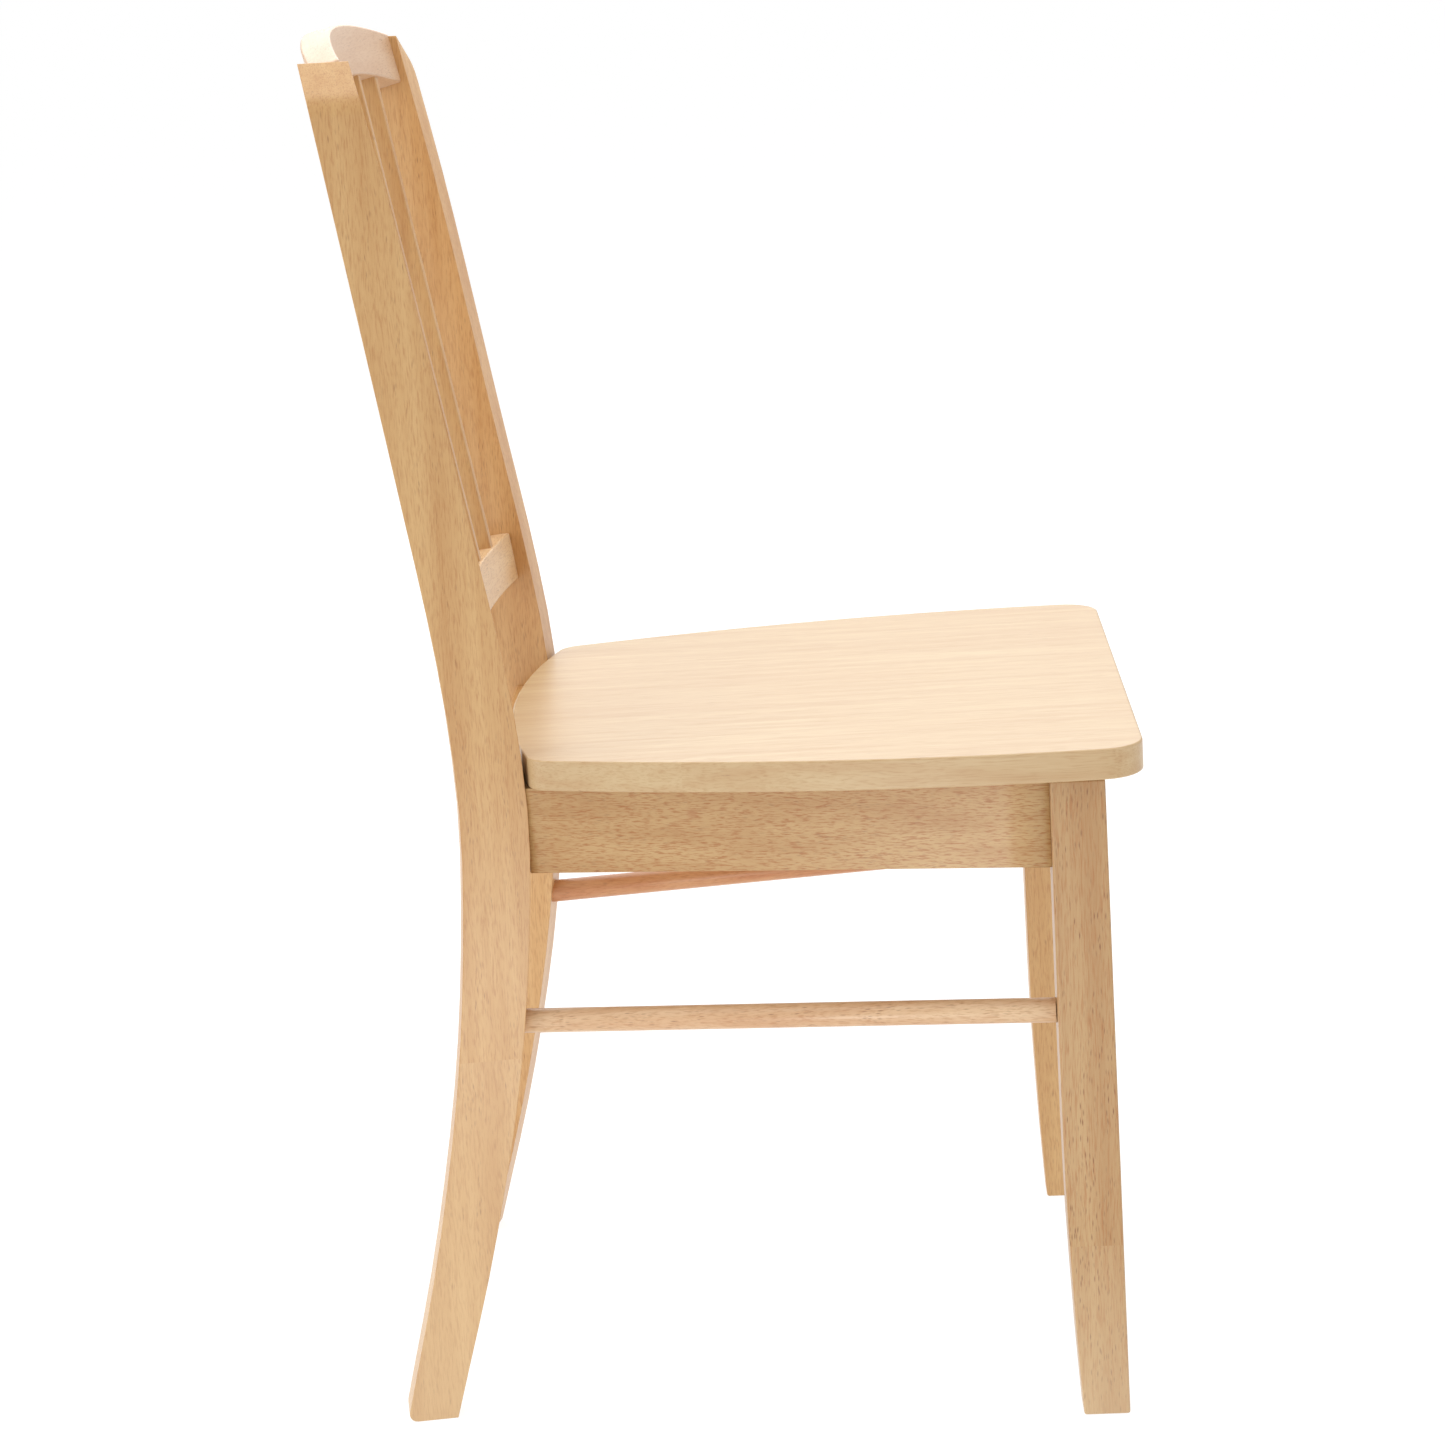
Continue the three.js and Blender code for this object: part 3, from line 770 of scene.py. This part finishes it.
# ---- the chair -----------------------------------------------------------------------------------
@dataclass
class BackPosts:
    """The two back posts, each sawn in one piece as a sabre curve from the floor to the crest.

    A station is a height, the front face's place along the depth there, and the depth itself.
    """

    width: float = 24.0
    top: float = 888.0
    outer_x: float = 153.0
    front_y: float = 135.5
    level: float = 450.0
    toe_in: float = math.radians(9)
    lean: float = math.radians(1.45)
    shoulder: float = 23.0
    shoulder_easing: float = 8.0
    heel: float = 7.0
    arris: float = 1.6
    rings: int = 28
    stations: tuple[tuple[float, float, float], ...] = (
        (0, 70.5, 33.5),
        (120, 37.5, 37.5),
        (250, 11, 41.5),
        (380, -2, 44),
        (450, 0, 43.5),
        (520, 9, 41.5),
        (620, 26.5, 39),
        (780, 54, 36.5),
        (888, 76, 31.5),
    )

    @property
    def frame(self) -> Matrix:
        """The right post's own frame: x across its width from the outer face, y along its depth."""
        slope = math.tan(self.lean)
        shear = Matrix.Identity(4)
        shear[0][2], shear[0][3] = slope, -self.level * slope
        stand = Matrix.Translation((-self.outer_x, self.front_y, 0))
        return stand @ Matrix.Rotation(self.toe_in, 4, "Z") @ shear

    def front_at(self, height: float) -> float:
        """The front face's place along the depth at a height."""
        return through([(z, front) for z, front, _ in self.stations], height)

    def depth_at(self, height: float) -> float:
        """The front-to-back depth at a height."""
        return through([(z, depth) for z, _, depth in self.stations], height)

    def inner_face(self) -> tuple[Vector, Vector]:
        """Find the face of the right post that the rails meet.

        Returns:
            A point on the face, and the direction into the post.
        """
        corner, above, behind = (
            self.frame @ Vector((self.width, y, z)) for y, z in ((0, 0), (0, 500), (100, 0))
        )
        normal = (above - corner).cross(behind - corner).normalized()
        return corner, normal if normal.x < 0 else -normal

    def build(self, finishes: dict[str, bpy.types.Material]) -> None:
        """Make both posts.

        Args:
            finishes: Every piece's finish.
        """

        def place(spot: Vector) -> Vector:
            height = spot.z * self.top
            depth = self.front_at(height) + spot.y * self.depth_at(height)
            return self.frame @ Vector((spot.x * self.width, depth, height))

        post = shaped_bar(self.rings, place)
        top_outer = [e for e in post.edges if self._at(e, self.top, outer=True)]
        sloped = round_edges(post, top_outer, self.shoulder, segments=1)
        lowest_facet = min(sloped, key=lambda face: face.calc_center_median().z)
        foot_of_slope = min(lowest_facet.edges, key=self._height)
        round_edges(post, [foot_of_slope], self.shoulder_easing, segments=6)
        heel = [e for e in post.edges if self._at(e, 0.0, outer=False)]
        round_edges(post, heel, self.heel, segments=5)
        ease_arrises(post, self.arris)
        finish_pair(post, "sabre_back_post", "rear_post", finishes, "post")

    def _height(self, edge: bmesh.types.BMEdge) -> float:
        """The height of an edge's middle."""
        return (edge.verts[0].co.z + edge.verts[1].co.z) / 2

    def _at(self, edge: bmesh.types.BMEdge, height: float, outer: bool) -> bool:
        """Tell whether an edge of the right post is an end's outer edge, or its rear edge.

        Args:
            edge: The edge.
            height: The end's height.
            outer: True for the outer edge, and false for the rear edge.

        Returns:
            Whether it is that edge.
        """
        near = 0.01
        ends = [self.frame.inverted() @ v.co for v in edge.verts]
        if any(abs(end.z - height) > near for end in ends):
            return False
        if outer:
            return all(abs(end.x) < near for end in ends)
        back = self.front_at(height) + self.depth_at(height)
        return all(abs(end.y - back) < near for end in ends)


@dataclass
class FrontLegs:
    """The two front legs, tapered on their front and back faces.

    Each face is given by its places along Y at some heights.
    """

    outer_x: float = 205.0
    width: float = 28.0
    top: float = 429.7
    arris: float = 1.6
    front: tuple[tuple[float, float], ...] = ((0, -240), (429.7, -233.5))
    back: tuple[tuple[float, float], ...] = (
        (0, -210),
        (60, -206.1),
        (170, -201.5),
        (429.7, -198.5),
    )
    rings: int = 16

    def build(self, finishes: dict[str, bpy.types.Material]) -> None:
        """Make both legs.

        Args:
            finishes: Every piece's finish.
        """

        def place(spot: Vector) -> Vector:
            height = spot.z * self.top
            front, back = through(self.front, height), through(self.back, height)
            across = -self.outer_x + spot.x * self.width
            return Vector((across, front + spot.y * (back - front), height))

        leg = shaped_bar(self.rings, place)
        ease_arrises(leg, self.arris)
        finish_pair(leg, "tapered_leg", "front_leg", finishes, "leg")


@dataclass
class Aprons:
    """The four aprons under the seat. The side aprons run from the front legs to the back posts.

    The boards are made too long and cut to fit: a side board by `into_leg` and `into_post` at its
    ends, while the rear board starts `rear_reach` long to each side of the middle. The cuts at a
    side board's ends follow the leg's and the post's curve between the given heights.
    """

    posts: BackPosts
    legs: FrontLegs
    bottom: float = 372.7
    height: float = 57.0
    thickness: float = 20.0
    front_outer: tuple[float, float] = (-202.0, -198.5)
    rear_outer: tuple[float, float] = (-152.5, 135.5)
    front_y: float = -229.5
    rear_y: float = 142.5
    into_leg: float = 16.0
    into_post: float = 20.0
    rear_reach: float = 170.0
    leg_cut_heights: tuple[float, float] = (420.0, 380.0)
    post_cut_heights: tuple[float, float] = (375.0, 425.0)
    arris: float = 0.6

    def build(self, finishes: dict[str, bpy.types.Material]) -> None:
        """Make the side, front and rear aprons.

        Args:
            finishes: Every piece's finish.
        """
        finish_pair(self._side(), "side_apron_board", "side_apron", finishes, "apron")
        inner = self.legs.outer_x - self.legs.width
        front = self._cross(self.front_y, inner + LET_IN)
        finish_piece(
            front, "front_apron_board", "front_apron", finishes["apron_front"]
        )
        rear = self._cross(self.rear_y, self.rear_reach)
        point, normal = self.posts.inner_face()
        trim(rear, point + normal * LET_IN, normal)
        trim(rear, to_left(point), to_left(normal))
        ease_arrises(rear, self.arris)
        finish_piece(
            rear, "rear_apron_board", "rear_apron", finishes["apron_rear"]
        )

    def _side(self) -> bmesh.types.BMesh:
        """Make the right side apron, which fits between the front leg and the back post.

        Returns:
            The board, one end cut to the leg's back face and the other to the post's front face.
        """
        start, end = Vector(self.front_outer), Vector(self.rear_outer)
        along = (end - start).normalized()
        inward = Vector((along.y, -along.x))
        length = (end - start).length + self.into_leg + self.into_post

        def place(spot: Vector) -> Vector:
            run = along * (length * spot.z - self.into_leg)
            flat = start + run + inward * self.thickness * spot.x
            return SEAT_SLOPE @ Vector((flat.x, flat.y, self.bottom + self.height * spot.y))

        board = shaped_bar(8, place)
        ease_arrises(board, self.arris)
        top, foot = (
            Vector((0, through(self.legs.back, z) + SHOULDER_GAP, z)) for z in self.leg_cut_heights
        )
        trim(board, top, Vector((0, foot.z - top.z, top.y - foot.y)))
        low, high = self.post_cut_heights
        near, far, above = (
            self.posts.frame @ Vector((x, self.posts.front_at(z) - SHOULDER_GAP, z))
            for x, z in ((0, low), (self.posts.width, low), (0, high))
        )
        normal = (above - near).cross(far - near).normalized()
        if normal.y < 0:
            normal.negate()
        trim(board, near, normal)
        return board

    def _cross(self, front_y: float, reach: float) -> bmesh.types.BMesh:
        """Make a straight apron from side to side.

        Args:
            front_y: Where its front face is.
            reach: Half its length.

        Returns:
            The board, its ends still square.
        """

        def place(spot: Vector) -> Vector:
            across, depth = reach * (2 * spot.z - 1), front_y + self.thickness * spot.x
            return SEAT_SLOPE @ Vector((across, depth, self.bottom + self.height * spot.y))

        return shaped_bar(10, place)


@dataclass
class BackRail:
    """One rail of the back, bowed round the sitter and raked with the posts.

    The bow and the arch are measured from its ends, `half_span` from the middle. The rail starts
    `reach` long to each side, and is then cut to the posts.
    """

    front_y: float
    bottom: float
    rake: float
    bow_radius: float
    arch: float
    posts: BackPosts
    height: float = 34.0
    thickness: float = 20.0
    half_span: float = 130.0
    reach: float = 160.0
    arris: float = 1.6
    rings: int = 40

    def bow(self, x: float) -> float:
        """How far behind its ends the rail is at x."""
        return (self.half_span**2 - x**2) / (2 * self.bow_radius)

    def rise(self, x: float) -> float:
        """How far above its ends the rail is at x."""
        return self.arch * (1 - (x / self.half_span) ** 2)

    @property
    def frame(self) -> Matrix:
        """The rail's own frame, raked back about its lower front edge."""
        stand = Matrix.Translation((0, self.front_y, self.bottom))
        return stand @ Matrix.Rotation(-self.rake, 4, "X")

    def mesh(self) -> bmesh.types.BMesh:
        """Make the rail, cut to the two posts.

        Returns:
            The rail as a new bmesh.
        """

        def place(spot: Vector) -> Vector:
            x = self.reach * (2 * spot.z - 1)
            depth = self.bow(x) + self.thickness * spot.x
            return self.frame @ Vector((x, depth, self.rise(x) + self.height * spot.y))

        rail = shaped_bar(self.rings, place)
        point, normal = self.posts.inner_face()
        trim(rail, point + normal * LET_IN, normal)
        trim(rail, to_left(point) + Vector((LET_IN, 0, 0)), to_left(normal))
        ease_arrises(rail, self.arris)
        return rail


@dataclass
class Back:
    """The crest rail, the lower rail and the slim slats, whose stubs are housed in both."""

    posts: BackPosts
    slat_pitch: float = 43.6
    slat_width: float = 7.5
    slat_depth: float = 16.0
    set_back: float = 1.5
    stub: float = 6.0
    arris: float = 1.2
    crest: BackRail = field(init=False)
    lower: BackRail = field(init=False)

    def __post_init__(self) -> None:
        """Set out the two rails."""
        self.crest = BackRail(
            front_y=214.5,
            bottom=856.5,
            rake=math.radians(12.3),
            bow_radius=580.0,
            arch=17.0,
            posts=self.posts,
        )
        self.lower = BackRail(
            front_y=155.5,
            bottom=504.0,
            rake=math.radians(8),
            bow_radius=700.0,
            arch=0.0,
            posts=self.posts,
        )

    def build(self, finishes: dict[str, bpy.types.Material]) -> None:
        """Make the rails and the slats.

        Args:
            finishes: Every piece's finish.
        """
        crest, lower = self.crest.mesh(), self.lower.mesh()
        finish_piece(crest, "arched_crest_rail", "crest_rail", finishes["crest"])
        finish_piece(lower, "bowed_lower_rail", "lower_back_rail", finishes["lower_rail"])
        middle = (1 + SLATS) / 2
        for number in range(1, SLATS + 1):
            slat = self._slat((number - middle) * self.slat_pitch)
            finish = finishes[f"slat_{number}"]
            finish_piece(slat, f"slim_slat_{number}", f"back_slat_{number}", finish)

    def _slat(self, x: float) -> bmesh.types.BMesh:
        """Make one slat, square to the rails' bow.

        Args:
            x: The slat's place across the chair.

        Returns:
            The slat as a new bmesh.
        """
        inset = self.set_back + self.slat_depth / 2
        foot_z = self.lower.height - self.stub
        head_z = self.crest.rise(x) + self.stub
        foot = self.lower.frame @ Vector((x, self.lower.bow(x) + inset, foot_z))
        head = self.crest.frame @ Vector((x, self.crest.bow(x) + inset, head_z))
        mean_radius = (self.crest.bow_radius + self.lower.bow_radius) / 2
        turn = Matrix.Rotation(-math.asin(x / mean_radius), 3, "Z")

        def place(spot: Vector) -> Vector:
            width, depth = (spot.x - 0.5) * self.slat_width, (spot.y - 0.5) * self.slat_depth
            return foot.lerp(head, spot.z) + turn @ Vector((width, depth, 0))

        slat = shaped_bar(6, place)
        ease_arrises(slat, self.arris)
        return slat


@dataclass
class SeatPanel:
    """The seat: edge-glued boards, straight in front, with curved sides and a curved rear edge."""

    top: float = 450.0
    thickness: float = 20.0
    front_y: float = -258.8
    half_width: float = 211.0
    widest_y: float = -200.5
    side_radius: float = 1110.0
    rear_y: float = 152.0
    rear_radius: float = 588.0
    rear_corner_y: float = 129.5
    front_corner: float = 25.0
    rear_corner: float = 10.0
    easing: float = 1.5
    grid: int = 12

    def side_at(self, y: float) -> float:
        """Half the seat's width at y."""
        return self.half_width - (y - self.widest_y) ** 2 / (2 * self.side_radius)

    def rear_at(self, x: float) -> float:
        """The rear edge's place at x."""
        return self.rear_y - self.rear_radius + math.sqrt(self.rear_radius**2 - x**2)

    def build(self, finishes: dict[str, bpy.types.Material]) -> None:
        """Make the seat.

        Args:
            finishes: Every piece's finish.
        """
        seat = bmesh.new()
        bmesh.ops.create_grid(seat, x_segments=self.grid, y_segments=self.grid, size=1.0)
        corners = [v for v in seat.verts if len(v.link_edges) == 2]
        front_corners = [v for v in corners if v.co.y < 0]
        rear_corners = [v for v in corners if v.co.y > 0]
        for vertex in seat.verts:
            share = (vertex.co.y + 1) / 2
            y = self.front_y + (self.rear_corner_y - self.front_y) * share
            x = vertex.co.x * self.side_at(y)
            bulge = self.rear_at(x) - self.rear_corner_y
            vertex.co = Vector((x, y + share**3 * bulge, self.top))
        for some, radius in ((front_corners, self.front_corner), (rear_corners, self.rear_corner)):
            bmesh.ops.bevel(
                seat,
                geom=some,
                offset=radius,
                offset_type="OFFSET",
                segments=8,
                profile=0.5,
                affect="VERTICES",
                material=-1,
            )
        lower = bmesh.ops.extrude_face_region(seat, geom=seat.faces[:])["geom"]
        bmesh.ops.translate(
            seat,
            verts=[item for item in lower if isinstance(item, bmesh.types.BMVert)],
            vec=(0, 0, -self.thickness),
        )
        ease_arrises(seat, self.easing, segments=4)
        bmesh.ops.transform(seat, matrix=SEAT_SLOPE, verts=seat.verts[:])
        finish_piece(seat, "glued_seat_boards", "seat_panel", finishes["seat"])


@dataclass
class Stretchers:
    """The two round side stretchers between the front legs and the back posts.

    A stretcher starts just inside the front leg and ends `into_post` deep in the back post, `inset`
    inwards of the post's middle.
    """

    posts: BackPosts
    radius: float = 8.0
    front_end: tuple[float, float, float] = (-189.0, -200.1, 274.0)
    rear_z: float = 266.0
    inset: float = 2.0
    into_post: float = 3.0
    facets: int = 48

    def build(self, finishes: dict[str, bpy.types.Material]) -> None:
        """Make both stretchers.

        Args:
            finishes: Every piece's finish.
        """
        start = Vector(self.front_end)
        rear_x = self.posts.width / 2 + self.inset
        rear_y = self.posts.front_at(self.rear_z) + self.into_post
        end = self.posts.frame @ Vector((rear_x, rear_y, self.rear_z))
        way = end - start
        turn = way.to_track_quat("Z", "X").to_matrix().to_4x4()
        bar = bmesh.new()
        bmesh.ops.create_cone(
            bar,
            cap_ends=True,
            segments=self.facets,
            radius1=self.radius,
            radius2=self.radius,
            depth=way.length,
            matrix=Matrix.Translation((start + end) / 2) @ turn,
        )
        finish_pair(bar, "round_stretcher", "side_stretcher", finishes, "stretcher")


# ---- studio --------------------------------------------------------------------------------------
@dataclass(frozen=True)
class Softbox:
    """A square softbox: its place, what it points at and its side in metres, its power in watts."""

    name: str
    place: tuple[float, float, float]
    aim: tuple[float, float, float]
    size: float
    power: float

    def hang(self) -> None:
        """Hang the softbox in the studio."""
        data = bpy.data.lights.new(self.name, "AREA")
        data.shape = "SQUARE"
        data.size = self.size
        data.energy = self.power
        light = bpy.data.objects.new(self.name, data)
        light.location = self.place
        light.rotation_mode = "QUATERNION"
        way = Vector(self.aim) - Vector(self.place)
        light.rotation_quaternion = way.to_track_quat("-Z", "Y")
        bpy.context.scene.collection.objects.link(light)


@dataclass
class Studio:
    """A plain pale floor, soft lights and the camera, in metres and radians.

    The floor gives off some light of its own, so that it stays white round the chair while little
    light comes back up from it.
    """

    camera_place: tuple[float, float, float] = (-2.3663, -0.0761, 1.0207)
    yaw: float = 0.03672
    pitch: float = 0.24658
    roll: float = 0.05095
    lens: float = 89.24
    floor_half_width: float = 30.0
    floor_grey: float = 0.25
    floor_glow: float = 0.85
    wall_glow: float = 0.6
    softboxes: tuple[Softbox, ...] = (
        Softbox("overhead_softbox", (0.0, 0.0, 3.2), aim=(0.0, 0.0, 0.4), size=3.2, power=62.0),
        Softbox("left_softbox", (2.6, 0.0, 2.4), aim=(0.0, 0.0, 0.5), size=3.0, power=48.0),
        Softbox("rear_softbox", (-0.4, 3.0, 1.5), aim=(0.0, 0.0, 0.5), size=2.0, power=42.0),
        Softbox("front_softbox", (-1.2, -3.0, 1.6), aim=(0.0, 0.0, 0.5), size=2.0, power=10.0),
        Softbox("low_fill", (-0.85, 0.0, 0.1), aim=(0.0, 0.0, 0.1), size=0.2, power=1.1),
    )

    def build(self) -> None:
        """Set up the camera, the floor, the lights and the surroundings."""
        self._camera()
        self._floor()
        for softbox in self.softboxes:
            softbox.hang()
        self._surroundings()
        bpy.context.scene.view_settings.view_transform = "Standard"

    def _camera(self) -> None:
        """Stand the camera a little above the chair, looking down at its right side."""
        level = math.cos(self.pitch)
        ahead = Vector(
            (level * math.cos(self.yaw), level * math.sin(self.yaw), -math.sin(self.pitch))
        )
        right = Vector((math.sin(self.yaw), -math.cos(self.yaw), 0))
        up = right.cross(ahead)
        rolled_right = right * math.cos(self.roll) - up * math.sin(self.roll)
        rolled_up = right * math.sin(self.roll) + up * math.cos(self.roll)
        turn = Matrix((rolled_right, rolled_up, -ahead)).transposed()
        data = bpy.data.cameras.new("studio_camera")
        data.lens = self.lens
        data.sensor_width = 36.0
        camera = bpy.data.objects.new("studio_camera", data)
        camera.matrix_world = Matrix.Translation(self.camera_place) @ turn.to_4x4()
        bpy.context.scene.collection.objects.link(camera)
        bpy.context.scene.camera = camera

    def _floor(self) -> None:
        """A pale seamless floor that runs past the edges of the view."""
        plane = bmesh.new()
        bmesh.ops.create_grid(plane, x_segments=2, y_segments=2, size=self.floor_half_width)
        data = bpy.data.meshes.new("studio_floor")
        plane.to_mesh(data)
        plane.free()
        material = bpy.data.materials.new("pale_matt_floor")
        material.use_nodes = True
        surface = material.node_tree.nodes["Principled BSDF"]
        grey = self.floor_grey
        surface.inputs["Base Color"].default_value = (grey, grey, grey, 1.0)
        surface.inputs["Roughness"].default_value = 0.9
        surface.inputs["Specular IOR Level"].default_value = 0.0
        surface.inputs["Emission Color"].default_value = (1.0, 1.0, 1.0, 1.0)
        surface.inputs["Emission Strength"].default_value = self.floor_glow
        data.materials.append(material)
        floor = bpy.data.objects.new("studio_floor", data)
        bpy.context.scene.collection.objects.link(floor)

    def _surroundings(self) -> None:
        """White walls all round the studio."""
        world = bpy.data.worlds.new("white_studio")
        world.use_nodes = True
        background = world.node_tree.nodes["Background"]
        background.inputs["Color"].default_value = (1.0, 1.0, 1.0, 1.0)
        background.inputs["Strength"].default_value = self.wall_glow
        bpy.context.scene.world = world


# ---- assembly ------------------------------------------------------------------------------------
def finishes() -> dict[str, bpy.types.Material]:
    """Choose every piece's own cut of the same timber, and dress it.

    Returns:
        The materials, by the piece that each is for.
    """
    upright, fore, cross = Grain.UPRIGHT, Grain.FRONT_TO_BACK, Grain.SIDE_TO_SIDE
    cuts = {
        # Below this splice: a paler board, with painted floor light that is palest at the foot.
        "post_right": Rubberwood("rubberwood_post_right", upright, 1.0, splices=(245.0,)),
        "post_left": Rubberwood("rubberwood_post_left", upright, 2.0, pale="d9b07a", warm="c6955d"),
        "leg_right": Rubberwood(
            "rubberwood_leg_right",
            upright,
            3.0,
            pale="bd9b6d",
            warm="ad8557",
            fleck_strength=0.55,
            fleck_length=16.0,
            pore_strength=0.8,
            pore_cover=0.8,
            # Below this splice: a paler board, with painted floor light that is palest at the foot.
            splices=(118.0,),
        ),
        "leg_left": Rubberwood("rubberwood_leg_left", upright, 4.0),
        "apron_right": Rubberwood(
            "rubberwood_apron_right",
            fore,
            5.0,
            pale="c4a270",
            warm="b38a58",
            fleck_strength=0.8,
            fleck_length=26.0,
            pore_strength=0.45,
            pore_cover=0.6,
            waver=0.7,
            knots=((-168.8, 27.0, 408.0),),
        ),
        "apron_left": Rubberwood("rubberwood_apron_left", fore, 6.0),
        "apron_front": Rubberwood("rubberwood_apron_front", cross, 7.0),
        "apron_rear": Rubberwood("rubberwood_apron_rear", cross, 8.0),
        "crest": Rubberwood(
            "rubberwood_crest", cross, 9.0, pale="d6b89a", warm="c8a381", fleck_strength=0.25
        ),
        "lower_rail": Rubberwood(
            "rubberwood_lower_rail", cross, 10.0, pale="e8cba3", warm="dbb587", fleck_strength=0.3
        ),
        "stretcher_right": Rubberwood(
            "rubberwood_stretcher_right", fore, 11.0, pale="e0c29c", warm="c99f78", pore_cover=0.7
        ),
        "stretcher_left": Rubberwood(
            "rubberwood_stretcher_left", fore, 12.0, pale="d9a878", warm="bd7c50"
        ),
        "seat": Rubberwood(
            "rubberwood_seat",
            fore,
            13.0,
            pale="c8af86",
            warm="bc9b71",
            fleck="a97f50",
            fleck_strength=0.4,
            fleck_length=28.0,
            pore_strength=0.35,
            pore_cover=0.3,
            band_width=9.0,
            board_width=62.0,
        ),
    }
    for number in range(1, SLATS + 1):
        cuts[f"slat_{number}"] = Rubberwood(f"rubberwood_slat_{number}", upright, 20.0 + number)
    return {name: cut.material() for name, cut in cuts.items()}


def dress_frame_nodes(nodes: dict[str, bpy.types.Object]) -> None:
    """Give the corner blocks and the screws that stay from the frame their finishes.

    Args:
        nodes: The frame's objects by name.
    """
    sawn = Rubberwood(
        "sawn_rubberwood_block",
        Grain.SIDE_TO_SIDE,
        30.0,
        pale="dcb98a",
        warm="c99c66",
        roughness=0.7,
    ).material()
    zinc = ZincPlate().material()
    for name, node in nodes.items():
        if "screw" not in name and "corner_block" not in name:
            continue
        node.data.materials.clear()
        node.data.materials.append(zinc if "screw" in name else sawn)
        log.info("%s: kept from the frame", name)


def main() -> None:
    """Build the chair piece by piece."""
    logging.basicConfig(level=logging.INFO, format="%(message)s")
    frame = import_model()
    cuts = finishes()
    posts = BackPosts()
    legs = FrontLegs()
    posts.build(cuts)
    legs.build(cuts)
    Aprons(posts, legs).build(cuts)
    Back(posts).build(cuts)
    SeatPanel().build(cuts)
    Stretchers(posts).build(cuts)
    dress_frame_nodes(frame["nodes"])
    Studio().build()


if __name__ == "__main__":
    main()
